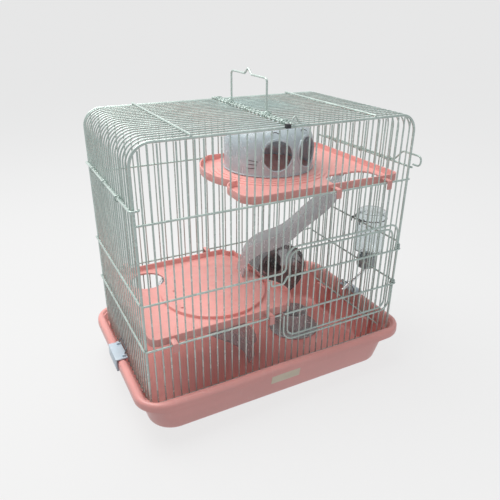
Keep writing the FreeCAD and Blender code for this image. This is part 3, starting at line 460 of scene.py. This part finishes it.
def grow(name, tree, settings, points, material):
    """Runs a geometry tree on a cloud of points and returns the plain mesh."""
    mesh = bpy.data.meshes.new(name)
    mesh.from_pydata([tuple(p) for p in points], [], [])
    holder = bpy.data.objects.new(name, mesh)
    bpy.context.scene.collection.objects.link(holder)
    modifier = holder.modifiers.new(name, "NODES")
    modifier.node_group = tree
    for item in tree.interface.items_tree:
        if item.in_out == "INPUT" and item.name in settings:
            modifier[item.identifier] = settings[item.name]
        elif item.in_out == "INPUT" and item.name == "Material":
            modifier[item.identifier] = finish(material)
    return bake_object(holder)


def bead_tree():
    """Small beads, each of a slightly different size, on every point."""
    tree, source, target = node_group(
        "weld beads", [("Radius", "NodeSocketFloat"), ("Material", "NodeSocketMaterial")]
    )
    bead = tree.nodes.new("GeometryNodeMeshUVSphere")
    bead.inputs["Segments"].default_value = 8
    bead.inputs["Rings"].default_value = 5
    spread = tree.nodes.new("GeometryNodeInstanceOnPoints")
    random = tree.nodes.new("FunctionNodeRandomValue")
    random.data_type = "FLOAT"
    random.inputs[2].default_value = 0.85
    random.inputs[3].default_value = 1.1
    random.inputs["Seed"].default_value = 7
    realize = tree.nodes.new("GeometryNodeRealizeInstances")
    paint = tree.nodes.new("GeometryNodeSetMaterial")
    links = tree.links
    links.new(source.outputs["Radius"], bead.inputs["Radius"])
    links.new(source.outputs["Geometry"], spread.inputs["Points"])
    links.new(bead.outputs["Mesh"], spread.inputs["Instance"])
    links.new(random.outputs[1], spread.inputs["Scale"])
    links.new(spread.outputs["Instances"], realize.inputs["Geometry"])
    links.new(realize.outputs["Geometry"], paint.inputs["Geometry"])
    links.new(source.outputs["Material"], paint.inputs["Material"])
    links.new(paint.outputs["Geometry"], target.inputs["Geometry"])
    return tree


def curl_tree():
    """A small wire ring, its axis along Y, on every point."""
    tree, source, target = node_group(
        "bar curls",
        [("Radius", "NodeSocketFloat"), ("Wire", "NodeSocketFloat"), ("Material", "NodeSocketMaterial")],
    )
    ring = tree.nodes.new("GeometryNodeCurvePrimitiveCircle")
    ring.inputs["Resolution"].default_value = 20
    section = tree.nodes.new("GeometryNodeCurvePrimitiveCircle")
    section.inputs["Resolution"].default_value = 8
    tube = tree.nodes.new("GeometryNodeCurveToMesh")
    turn = tree.nodes.new("GeometryNodeTransform")
    turn.inputs["Rotation"].default_value = (pi / 2, 0, 0)
    spread = tree.nodes.new("GeometryNodeInstanceOnPoints")
    realize = tree.nodes.new("GeometryNodeRealizeInstances")
    paint = tree.nodes.new("GeometryNodeSetMaterial")
    links = tree.links
    links.new(source.outputs["Radius"], ring.inputs["Radius"])
    links.new(source.outputs["Wire"], section.inputs["Radius"])
    links.new(ring.outputs["Curve"], tube.inputs["Curve"])
    links.new(section.outputs["Curve"], tube.inputs["Profile Curve"])
    links.new(tube.outputs["Mesh"], turn.inputs["Geometry"])
    links.new(source.outputs["Geometry"], spread.inputs["Points"])
    links.new(turn.outputs["Geometry"], spread.inputs["Instance"])
    links.new(spread.outputs["Instances"], realize.inputs["Geometry"])
    links.new(realize.outputs["Geometry"], paint.inputs["Geometry"])
    links.new(source.outputs["Material"], paint.inputs["Material"])
    links.new(paint.outputs["Geometry"], target.inputs["Geometry"])
    return tree


def rib_tree():
    """Straight ribs set round a circle, for caps."""
    tree, source, target = node_group(
        "grip ribs",
        [
            ("Count", "NodeSocketInt"), ("Radius", "NodeSocketFloat"), ("Height", "NodeSocketFloat"),
            ("Rib", "NodeSocketFloat"), ("Material", "NodeSocketMaterial"),
        ],
    )
    circle = tree.nodes.new("GeometryNodeMeshCircle")
    rib = tree.nodes.new("GeometryNodeMeshCylinder")
    rib.inputs["Vertices"].default_value = 8
    place = tree.nodes.new("GeometryNodeInstanceOnPoints")
    spread = tree.nodes.new("GeometryNodeInstanceOnPoints")
    realize = tree.nodes.new("GeometryNodeRealizeInstances")
    paint = tree.nodes.new("GeometryNodeSetMaterial")
    links = tree.links
    links.new(source.outputs["Count"], circle.inputs["Vertices"])
    links.new(source.outputs["Radius"], circle.inputs["Radius"])
    links.new(source.outputs["Rib"], rib.inputs["Radius"])
    links.new(source.outputs["Height"], rib.inputs["Depth"])
    links.new(circle.outputs["Mesh"], place.inputs["Points"])
    links.new(rib.outputs["Mesh"], place.inputs["Instance"])
    links.new(source.outputs["Geometry"], spread.inputs["Points"])
    links.new(place.outputs["Instances"], spread.inputs["Instance"])
    links.new(spread.outputs["Instances"], realize.inputs["Geometry"])
    links.new(realize.outputs["Geometry"], paint.inputs["Geometry"])
    links.new(source.outputs["Material"], paint.inputs["Material"])
    links.new(paint.outputs["Geometry"], target.inputs["Geometry"])
    return tree


def paint_nodes(material, *nodes):
    """Gives carried-over CAD nodes their finish."""
    for node in nodes:
        thing = frame["nodes"][node]
        for slot in thing.material_slots:
            slot.material = finish(material)


# ---- operators, one for each piece or group ----
class CAGE_OT_stage(bpy.types.Operator):
    """Camera, soft light and a pale floor"""

    bl_idname = "cage.stage"
    bl_label = "Stage"

    def execute(self, context):
        scene = context.scene
        scene.view_settings.view_transform = "Standard"
        self.camera(scene)
        self.floor()
        self.lights(scene)
        return {"FINISHED"}

    def camera(self, scene):
        turn, tilt, roll = radians(VIEW_TURN), radians(25.25), radians(0.51)
        ahead = Vector((sin(turn) * cos(tilt), cos(turn) * cos(tilt), -sin(tilt)))
        right = Vector((cos(turn), -sin(turn), 0))
        up = right.cross(ahead)
        across = right * cos(roll) + up * sin(roll)
        above = up * cos(roll) - right * sin(roll)
        data = bpy.data.cameras.new("camera")
        data.sensor_width = 36.0
        data.lens = 37.016
        camera = bpy.data.objects.new("camera", data)
        scene.collection.objects.link(camera)
        rotation = Matrix((across, above, -ahead)).transposed().to_4x4()
        camera.matrix_world = Matrix.Translation((-0.3551, -0.6843, 0.5691)) @ rotation
        scene.camera = camera

    def floor(self):
        """A wide sweep that curves up behind the object."""
        bm = bmesh.new()
        depth = 6.0
        bend = 2.0
        profile = [Vector((0, -depth, 0)), Vector((0, depth - bend, 0))]
        steps = 12
        for k in range(1, steps + 1):
            turn = pi / 2 * k / steps
            profile.append(Vector((0, depth - bend + bend * sin(turn), bend * (1 - cos(turn)))))
        profile.append(Vector((0, depth, 5.0)))
        rows = []
        for x in (-8.0, 8.0):
            rows.append([bm.verts.new(Vector((x, p.y, p.z))) for p in profile])
        for k in range(len(profile) - 1):
            bm.faces.new((rows[0][k], rows[1][k], rows[1][k + 1], rows[0][k + 1]))
        for vert in bm.verts:
            vert.co.rotate(Matrix.Rotation(radians(-VIEW_TURN), 3, "Z"))
        mesh = mesh_of(bm, "floor")
        smooth(mesh)
        floor = bpy.data.objects.new("floor", mesh)
        bpy.context.scene.collection.objects.link(floor)
        f = Finish("floor paper")
        tone = f.ramp(f.noise(3.0, 2.0), 0.2, 0.8)
        f.feed(Base_Color=f.blend(tone, (0.118, 0.118, 0.118), (0.122, 0.122, 0.122)), Roughness=0.9)
        f.feed(Specular_IOR_Level=0.0)
        f.feed(Emission_Color=(0.75, 0.75, 0.75), Emission_Strength=1.0)
        floor.data.materials.append(f.material)
        floor.visible_diffuse = False

    def lights(self, scene):
        world = bpy.data.worlds.new("world")
        scene.world = world
        world.use_nodes = True
        back = world.node_tree.nodes["Background"]
        back.inputs["Color"].default_value = (0.92, 0.94, 0.96, 1)
        back.inputs["Strength"].default_value = 0.42
        power = scene.cage_sizes.key_light
        self.area("key", (-0.35, 0.35, 1.55), (0.0, 0.0, 0.2), 1.4, power, (1, 0.99, 0.97))
        self.area("front fill", (0.3, -1.8, 0.8), (0.0, 0.0, 0.2), 1.2, power * 0.08, (0.96, 0.98, 1))

    def area(self, name, place, aim, size, power, colour):
        data = bpy.data.lights.new(name, "AREA")
        data.shape = "DISK"
        data.size = size
        data.energy = power
        data.color = colour
        lamp = bpy.data.objects.new(name, data)
        bpy.context.scene.collection.objects.link(lamp)
        lamp.location = place
        lamp.rotation_euler = (Vector(aim) - Vector(place)).to_track_quat("-Z", "Y").to_euler()


class CAGE_OT_tray(bpy.types.Operator):
    """Tray with its rolled, gently waved rim, and the blank label"""

    bl_idname = "cage.tray"
    bl_label = "Tray"

    def execute(self, context):
        wave = context.scene.cage_sizes.rim_wave
        top = high("base_tray")
        reach_x, reach_y, rim_z = top.x, top.y, top.z
        bm = bmesh.new()
        loops = []
        for inset, slope_y, corner, z, waved in self.profile(rim_z):
            loop = ring_loop(reach_x - inset, reach_y - slope_y, corner, z, 14)
            dense = self.divide(loop)
            if waved:
                for p in dense:
                    p.z += self.ripple(p, reach_x, reach_y, wave) * waved
            loops.append([bm.verts.new(p) for p in dense])
        count = len(loops[0])
        for a, b in zip(loops, loops[1:]):
            for k in range(count):
                n = (k + 1) % count
                bm.faces.new((a[k], a[n], b[n], b[k]))
        bm.faces.new(loops[0][::-1])
        bm.faces.new(loops[-1])
        bmesh.ops.recalc_face_normals(bm, faces=bm.faces)
        self.seats(bm)
        mesh = mesh_of(bm, "tray")
        smooth(mesh, radians(38))
        piece_from("tray_shell", mesh, "pink plastic", "tray", ("base_tray",))
        paint_nodes("label paper", "tray_label")
        self.gate_mark(reach_x, reach_y, rim_z, wave)
        return {"FINISHED"}

    def profile(self, top):
        """Loops from the middle of the underside, out, up over the rim and down to the floor.

        Each is (inset along X, inset along Y, corner radius, height, share of the rim's wave).
        """
        wall, band = 2.5 * MM, 11 * MM
        lean_x, lean_y = 14 * MM, 15.5 * MM
        foot = 8 * MM

        def at(z, inward, pull=0.0):
            share = 1 - z / top
            inset = band + inward + pull
            return inset + share * lean_x, inset + share * lean_y

        rows = []
        for k in range(7):
            turn = pi / 2 * k / 6
            z = foot * (1 - cos(turn))
            x, y = at(z, 0, foot * (1 - sin(turn)))
            rows.append((x, y, 39 * MM - foot * (1 - sin(turn)), z, 0))
        for z in (20 * MM, 40 * MM, 56 * MM):
            rows.append((*at(z, 0), 39 * MM, z, 0))
        rows.append((*at(66 * MM, 0), 30 * MM, 66 * MM, 0.4))
        rows.append((*at(71 * MM, 0.4 * MM), 26 * MM, 71.5 * MM, 0.9))
        lip = 62 * MM
        hollow = 2.2 * MM
        rows.append((hollow + 2.5 * MM, hollow + 2.5 * MM, 40 * MM, 72.6 * MM, 1))
        rows.append((hollow, hollow, 41 * MM, 70 * MM, 1))
        rows.append((hollow, hollow, 41 * MM, lip + 0.6 * MM, 1))
        rows.append((hollow * 0.5, hollow * 0.5, 41.5 * MM, lip, 1))
        rows.append((0.2 * MM, 0.2 * MM, 42 * MM, lip + 0.7 * MM, 1))
        rows.append((0, 0, 42 * MM, lip + 3 * MM, 1))
        rows.append((0.3 * MM, 0.3 * MM, 42 * MM, 70 * MM, 1))
        middle = (band + wall) / 2
        for k in range(9):
            turn = pi * 0.93 * k / 8
            inset = middle - middle * cos(turn) * 0.96
            z = 70 * MM + 6 * MM * sin(turn) ** 0.8
            share = inset / (2 * middle)
            corner = (1 - share) * 42 * MM + share * 18 * MM
            rows.append((inset, inset, corner, z, 1 - 0.7 * share))
        rows.append((*at(68 * MM, wall), 18 * MM, 69 * MM, 0.2))
        rows.append((*at(63 * MM, wall), 18 * MM, 62.5 * MM, 0))
        rows.append((*at(61 * MM, wall + 0.5 * MM), 19 * MM, 61 * MM, 0))
        rows.append((*at(61 * MM, wall + 0.9 * MM), 35 * MM, 60.9 * MM, 0))
        for z in (60 * MM, 40 * MM, 20 * MM):
            rows.append((*at(z, wall), 36.5 * MM, z, 0))
        for k in range(6, -1, -1):
            turn = pi / 2 * k / 6
            z = wall + foot * (1 - cos(turn))
            x, y = at(z, wall, foot * (1 - sin(turn)))
            rows.append((x, y, 36.5 * MM - foot * (1 - sin(turn)), z, 0))
        return rows

    def divide(self, loop):
        """Adds points along the straight sides, so that the wave is smooth."""
        out = []
        for k, point in enumerate(loop):
            ahead = loop[(k + 1) % len(loop)]
            out.append(point)
            gap = (ahead - point).length
            extra = 24 if gap > 0.3 else 12 if gap > 0.1 else 0
            for j in range(1, extra):
                out.append(point.lerp(ahead, j / extra))
        return out

    def ripple(self, p, reach_x, reach_y, wave):
        """Crests at the middle and near the ends of each long side, troughs between them."""
        side = max(0.0, (abs(p.y) / reach_y - 0.78) / 0.22)
        fade = max(0.0, min(1.0, (reach_x * 0.99 - abs(p.x)) / (reach_x * 0.1)))
        return -wave * (1 - cos(tau * p.x / (reach_x * 0.98))) / 2 * min(1.0, side * 2) * fade

    def seats(self, bm):
        """The four ledges that carry the cage, each against the leaning end wall."""
        inner = 205.7 * MM
        wall_top = 222.75 * MM
        lean = 14 * MM
        rim = 76 * MM
        foot = 4 * MM
        half = 15 * MM
        for sx in (-1, 1):
            for sy in (-1, 1):
                ends = []
                for y in (sy * SEAT_Y - half, sy * SEAT_Y + half):
                    corners = [(inner, SEAT_TOP), (inner, foot)]
                    corners += [(wall_top - (1 - z / rim) * lean, z) for z in (foot, SEAT_TOP)]
                    ends.append([bm.verts.new((sx * x, y, z)) for x, z in corners])
                made = [bm.faces.new(ends[0]), bm.faces.new(ends[1][::-1])]
                for k in range(4):
                    n = (k + 1) % 4
                    made.append(bm.faces.new((ends[0][k], ends[1][k], ends[1][n], ends[0][n])))
                bmesh.ops.recalc_face_normals(bm, faces=made)
                shown = [e for f in made for e in f.edges if min(v.co.z for v in e.verts) > SEAT_TOP - 4 * MM]
                bmesh.ops.bevel(
                    bm, geom=list(set(shown)), offset=1.2 * MM, segments=3, affect="EDGES", profile=0.5
                )

    def gate_mark(self, reach_x, reach_y, rim_z, wave):
        """The small round scar of the moulding gate on the front rim."""
        spot = Vector((50 * MM, -reach_y + 7 * MM, 0))
        lift = self.ripple(Vector((spot.x, -reach_y, 0)), reach_x, reach_y, wave)
        bm = bmesh.new()
        bmesh.ops.create_cone(
            bm, cap_ends=True, segments=20, radius1=1.9 * MM, radius2=1.5 * MM, depth=0.8 * MM,
            matrix=Matrix.Translation((spot.x, spot.y, rim_z + lift - 0.3 * MM)),
        )
        mesh = mesh_of(bm, "gate")
        smooth(mesh)
        piece_from("tray_gate_mark", mesh, "pink plastic", "tray")


WIRE_NODES = [
    "left_side_grille", "right_side_grille", "left_corner_bends", "right_corner_bends",
    "left_roof_grille", "right_roof_grille", "back_grille", "front_border_wire",
    "front_grille_left", "front_grille_upper", "front_grille_lower", "door_arch_wire",
    "door_sill_wire", "latch_post_wire",
    "left_tie_eyes", "right_tie_eyes", "left_tie_hook", "right_tie_hook",
    "door_grille", "door_upper_rod", "door_lower_rod", "carry_handle", "left_tie_rod", "right_tie_rod",
]


def bar_places(first, last, count):
    return [first + (last - first) * k / (count - 1) for k in range(count)]


class CAGE_OT_wires(bpy.types.Operator):
    """Finish of the wire cage, and a weld bead wherever a rod crosses a bar"""

    bl_idname = "cage.wires"
    bl_label = "Wire cage"

    def execute(self, context):
        paint_nodes("mint wire", *WIRE_NODES)
        paint_nodes("dark plastic", "roof_catch")
        radius = context.scene.cage_sizes.weld_size
        tree = bead_tree()
        beads = grow(
            "cage_welds", tree, {"Radius": radius}, self.crossings(), "mint wire"
        )
        smooth(beads, pi)
        piece_from("cage_welds", beads, "mint wire", "cage")
        self.front_peak()
        self.roof_joint()
        return {"FINISHED"}

    def roof_joint(self):
        """Bar ends curled round the two middle rods, and the flat loops that tie the rods."""
        ends = []
        for y in bar_places(-HALF_D, HALF_D, BARS_DEEP)[1:-1]:
            for side in (-1, 1):
                ends.append(Vector((side * ROOF_ROD_X, y, ROOF_ROD_Z)))
        settings = {"Radius": 2.2 * MM, "Wire": 0.7 * MM}
        curls = grow("roof_bar_curls", curl_tree(), settings, ends, "mint wire")
        smooth(curls, pi)
        piece_from("roof_bar_curls", curls, "mint wire", "cage")
        for node, top_x, top_z, foot_x, foot_z in (
            ("roof_joint_rings", 6.3, 2.9, 6.3, -2.9), ("handle_rings", 3.6, 6.2, 7.2, -3.2),
        ):
            outline = [(top_x, top_z), (-top_x, top_z), (-foot_x, foot_z), (foot_x, foot_z)]
            base, top = low(node), high(node)
            count = 3 if node == "roof_joint_rings" else 2
            loops = []
            for y in bar_places(base.y + 1.1 * MM, top.y - 1.1 * MM, count):
                loops.append([Vector((x * MM, y, ROOF_ROD_Z + z * MM)) for x, z in outline])
            mesh = wire_mesh("loops", loops, 1.1 * MM, closed=True, steps=8, sides=10)
            smooth(mesh, pi)
            piece_from(node + "_bent", mesh, "mint wire", "cage", (node,))

    def crossings(self):
        """Where the rods touch the bars on the four walls and the roof."""
        bars_x = bar_places(-HALF_W, HALF_W, BARS_LONG)[1:-1]
        bars_y = bar_places(-HALF_D, HALF_D, BARS_DEEP)[1:-1]
        front = -HALF_D - WELD_LIFT
        back = HALF_D + WELD_LIFT
        points = []
        for x in bars_x:
            points.append(Vector((x, front, 333 * MM)))
            points.append(Vector((x, back, 333 * MM)))
            points.append(Vector((x, back, 158.5 * MM)))
            points.append(Vector((x, HALF_D - WELD_LIFT, 55.8 * MM)))
            if x < 0:
                points.append(Vector((x, front, 151 * MM)))
            if x < -20 * MM:
                points.append(Vector((x, front, 221.7 * MM)))
        for y in bars_y:
            for side in (-1, 1):
                for z in (351, 225, 153):
                    points.append(Vector((side * (HALF_W + WELD_LIFT), y, z * MM)))
                points.append(Vector((side * 138 * MM, y, ROOF_Z + WELD_LIFT)))
        return points

    def front_peak(self):
        """The little bent wire beside the catch at the roof's front edge."""
        foot = 434.4 * MM
        shape = [
            (-4, 0), (-1, 0.4), (1.5, 6.5), (3.5, 9.4), (5.5, 9.4), (8, 6), (11, 0.6), (18, 0.2), (27, 0.2),
        ]
        points = [Vector((x * MM, -HALF_D, foot + rise * MM)) for x, rise in shape]
        mesh = wire_mesh("front_peak", [points], 1.0 * MM)
        smooth(mesh, pi)
        piece_from("roof_front_peak", mesh, "mint wire", "cage")


class CAGE_OT_door(bpy.types.Operator):
    """Hinge coils of the front door"""

    bl_idname = "cage.door"
    bl_label = "Door"

    def execute(self, context):
        wire = context.scene.cage_sizes.coil_wire
        hinge = next(j for j in frame["joints"] if j["name"] == "door_swing")
        post = Vector(hinge["pos_m"])
        radius = 1.9 * MM + wire + 0.35 * MM
        runs = []
        up = Vector((0, 0, 1))
        start = Vector((-0.3, -1, 0))
        for node, turns in (("door_upper_rod", 3), ("door_lower_rod", 2)):
            centre = Vector((post.x, post.y, high(node).z - 0.4 * MM))
            runs.append(helix(centre, up, start, radius, turns, turns * 2.35 * wire))
        mesh = wire_mesh("hinge_coils", runs, wire)
        smooth(mesh, pi)
        piece_from("door_hinge_coils", mesh, "mint wire", "door")
        return {"FINISHED"}


class CAGE_OT_latches(bpy.types.Operator):
    """Tray clips with their spring bails"""

    bl_idname = "cage.latches"
    bl_label = "Tray clips"

    def execute(self, context):
        width = context.scene.cage_sizes.edge_round
        for side in ("left", "right"):
            body = side + "_latch"
            softened(
                side + "_tray_latch", side + "_clip_body", "clip plastic", body,
                width,
            )
            paint_nodes("dark steel", side + "_latch_bail")
            self.tabs(side, body)
        return {"FINISHED"}

    def tabs(self, side, body):
        """The two small lugs that hold the bail's ends on the clip."""
        bail_low, bail_high = low(side + "_latch_bail"), high(side + "_latch_bail")
        sign = -1 if side == "left" else 1
        x = bail_low.x if side == "left" else bail_high.x
        bm = bmesh.new()
        for y in (bail_low.y + 1.1 * MM, bail_high.y - 1.1 * MM):
            spot = Matrix.Translation((x + sign * 0.2 * MM, y, bail_low.z + 0.9 * MM))
            size = Matrix.Diagonal((5.5 * MM, 5.5 * MM, 4.0 * MM, 1))
            made = bmesh.ops.create_cube(bm, size=1, matrix=spot @ size)
            edges = list({e for v in made["verts"] for e in v.link_edges})
            bmesh.ops.bevel(bm, geom=edges, offset=1.3 * MM, segments=3, affect="EDGES", profile=0.5)
        mesh = mesh_of(bm, "tabs")
        smooth(mesh)
        piece_from(side + "_clip_lugs", mesh, "clip plastic", body)


class CAGE_OT_platforms(bpy.types.Operator):
    """The two moulded floors with rounded edges"""

    bl_idname = "cage.platforms"
    bl_label = "Platforms"

    def execute(self, context):
        width = context.scene.cage_sizes.edge_round
        for node in ("upper_platform", "lower_platform"):
            softened(node, node + "_moulding", "pink plastic", "cage", width)
        return {"FINISHED"}


class CAGE_OT_house(bpy.types.Operator):
    """The domed house with its raised doorways and painted face"""

    bl_idname = "cage.house"
    bl_label = "House"

    def execute(self, context):
        paint_nodes("milky plastic", "house_dome")
        base, top = low("house_dome"), high("house_dome")
        self.radius = (top.x - base.x) / 2
        self.height = top.z - base.z
        self.centre = Vector(((base.x + top.x) / 2, HOUSE_Y, base.z))
        self.doorways()
        self.face()
        self.skirt()
        return {"FINISHED"}

    def wall_at(self, height):
        """Radius of the dome's outer face at a height above its base."""
        share = height / self.height
        if share <= STRAIGHT_SHARE:
            return self.radius
        lo, hi = 0.0, 1.0
        for _ in range(30):
            t = (lo + hi) / 2
            z = STRAIGHT_SHARE * (1 - t) ** 3 + 0.82 * 3 * t * (1 - t) ** 2 + 3 * t * t * (1 - t) + t ** 3
            lo, hi = (t, hi) if z < share else (lo, t)
        x = (1 - t) ** 3 + 3 * t * (1 - t) ** 2 + 0.8 * 3 * t * t * (1 - t)
        return self.radius * x

    def on_wall(self, turn, height, proud=0.0):
        r = self.wall_at(height) + proud
        return self.centre + Vector((r * cos(turn), r * sin(turn), height))

    def doorways(self):
        """A rounded lip round each of the two openings, following the curved wall."""
        runs = []
        hole = DOORWAY_R + 1.3 * MM
        for azimuth in (-108, -62):
            middle = radians(azimuth)
            points = []
            for k in range(40):
                turn = tau * k / 40
                across = hole * cos(turn)
                rise = DOORWAY_HEIGHT + hole * sin(turn)
                points.append(self.side_point(middle, across, rise))
            runs.append(points)
        mesh = wire_mesh("lips", runs, 1.7 * MM, closed=True, steps=3, sides=10)
        smooth(mesh, pi)
        piece_from("house_doorway_lips", mesh, "milky plastic", "house")

    def side_point(self, middle, across, rise, proud=0.25 * MM):
        r = self.wall_at(rise) + proud
        depth = sqrt(max(r * r - across * across, 0))
        out = Vector((cos(middle), sin(middle), 0))
        side = Vector((-sin(middle), cos(middle), 0))
        return self.centre + out * depth + side * across + Vector((0, 0, rise))

    def face(self):
        """Two brows above the openings and three whiskers on each side."""
        runs = []
        for azimuth in (-110, -60):
            points = []
            for k in range(7):
                share = k / 6 - 0.5
                turn = radians(azimuth) + share * 0.24
                rise = 63.2 + 2.6 * cos(share * pi) - 1.5 * share
                points.append(self.on_wall(turn, rise * MM, 0.1 * MM))
            runs.append(points)
        for sign in (-1, 1):
            for row in range(3):
                points = []
                for k in range(4):
                    turn = radians(-85 + sign * (47 + 3.8 * k + 1.2 * row))
                    rise = 24 - 5 * row - 0.5 * k * (row - 1)
                    points.append(self.on_wall(turn, rise * MM, 0.1 * MM))
                runs.append(points)
        mesh = wire_mesh("strokes", runs, 0.62 * MM, steps=4)
        smooth(mesh, pi)
        piece_from("house_face_lines", mesh, "brow paint", "house")

    def skirt(self):
        """A rounded bead round the foot of the wall."""
        points = [self.on_wall(tau * k / 48, 1.5 * MM, 0.1 * MM) for k in range(48)]
        mesh = wire_mesh("skirt", [points], 1.3 * MM, closed=True, steps=3)
        smooth(mesh, pi)
        piece_from("house_foot_bead", mesh, "milky plastic", "house")


class CAGE_OT_slides(bpy.types.Operator):
    """The two translucent slides"""

    bl_idname = "cage.slides"
    bl_label = "Slides"

    def execute(self, context):
        paint_nodes("slide plastic", "upper_ramp", "lower_ramp")
        return {"FINISHED"}


class CAGE_OT_bowl(bpy.types.Operator):
    """The food bowl"""

    bl_idname = "cage.bowl"
    bl_label = "Food bowl"

    def execute(self, context):
        width = context.scene.cage_sizes.edge_round
        softened("food_bowl", "food_bowl_cup", "slide plastic", "bowl", width * 0.7)
        return {"FINISHED"}


class CAGE_OT_wheel(bpy.types.Operator):
    """Running wheel, its bearing and its fixing"""

    bl_idname = "cage.wheel"
    bl_label = "Running wheel"

    def execute(self, context):
        paint_nodes("smoke plastic", "wheel_drum")
        paint_nodes("dark steel", "wheel_axle")
        paint_nodes("dark plastic", "wheel_cap", "wheel_plate", "wheel_nut")
        base, top = low("wheel_drum"), high("wheel_drum")
        centre = (base + top) / 2
        r = (top.z - base.z) / 2 - 1.0 * MM
        depth = base.y + 1.2 * MM - centre.y
        ring = []
        for k in range(48):
            turn = tau * k / 48
            ring.append(centre + Vector((r * cos(turn), depth, r * sin(turn))))
        mesh = wire_mesh("rim", [ring], 1.1 * MM, closed=True, steps=3)
        smooth(mesh, pi)
        piece_from("wheel_front_rim", mesh, "dark plastic", "wheel")
        return {"FINISHED"}


class CAGE_OT_bottle(bpy.types.Operator):
    """Water bottle, ribbed cap, steel tube and hanger"""

    bl_idname = "cage.bottle"
    bl_label = "Water bottle"

    def execute(self, context):
        paint_nodes("bottle plastic", "bottle_body")
        paint_nodes("cap plastic", "bottle_cap")
        paint_nodes("bright steel", "bottle_nozzle", "nozzle_ball")
        paint_nodes("dark steel", "bottle_hanger")
        base, top = low("bottle_cap"), high("bottle_cap")
        middle = (base + top) / 2
        settings = {
            "Count": context.scene.cage_sizes.cap_ribs,
            "Radius": (top.x - base.x) / 2,
            "Height": (top.z - base.z) * 0.8,
            "Rib": 0.6 * MM,
        }
        ribs = grow("cap_ribs", rib_tree(), settings, [middle], "cap plastic")
        smooth(ribs)
        piece_from("bottle_cap_ribs", ribs, "cap plastic", "bottle")
        return {"FINISHED"}


class CAGE_PT_builder(bpy.types.Panel):
    bl_label = "Hamster Cage"
    bl_idname = "CAGE_PT_builder"
    bl_space_type = "VIEW_3D"
    bl_region_type = "UI"
    bl_category = "Cage"

    def draw(self, context):
        column = self.layout.column()
        for group in (context.scene.cage_colours, context.scene.cage_sizes):
            for key in group.__annotations__:
                column.prop(group, key)
        for step in STEPS:
            column.operator(step.bl_idname)


STEPS = (
    CAGE_OT_stage, CAGE_OT_tray, CAGE_OT_wires, CAGE_OT_door, CAGE_OT_latches, CAGE_OT_platforms,
    CAGE_OT_house, CAGE_OT_slides, CAGE_OT_bowl, CAGE_OT_wheel, CAGE_OT_bottle,
)
CLASSES = (CageColours, CageSizes, *STEPS, CAGE_PT_builder)


def register():
    for item in CLASSES:
        bpy.utils.register_class(item)
    bpy.types.Scene.cage_colours = bpy.props.PointerProperty(type=CageColours)
    bpy.types.Scene.cage_sizes = bpy.props.PointerProperty(type=CageSizes)


def unregister():
    del bpy.types.Scene.cage_sizes
    del bpy.types.Scene.cage_colours
    for item in reversed(CLASSES):
        bpy.utils.unregister_class(item)


def main():
    register()
    for step in STEPS:
        family, name = step.bl_idname.split(".")
        getattr(getattr(bpy.ops, family), name)()


if __name__ == "__main__":
    main()
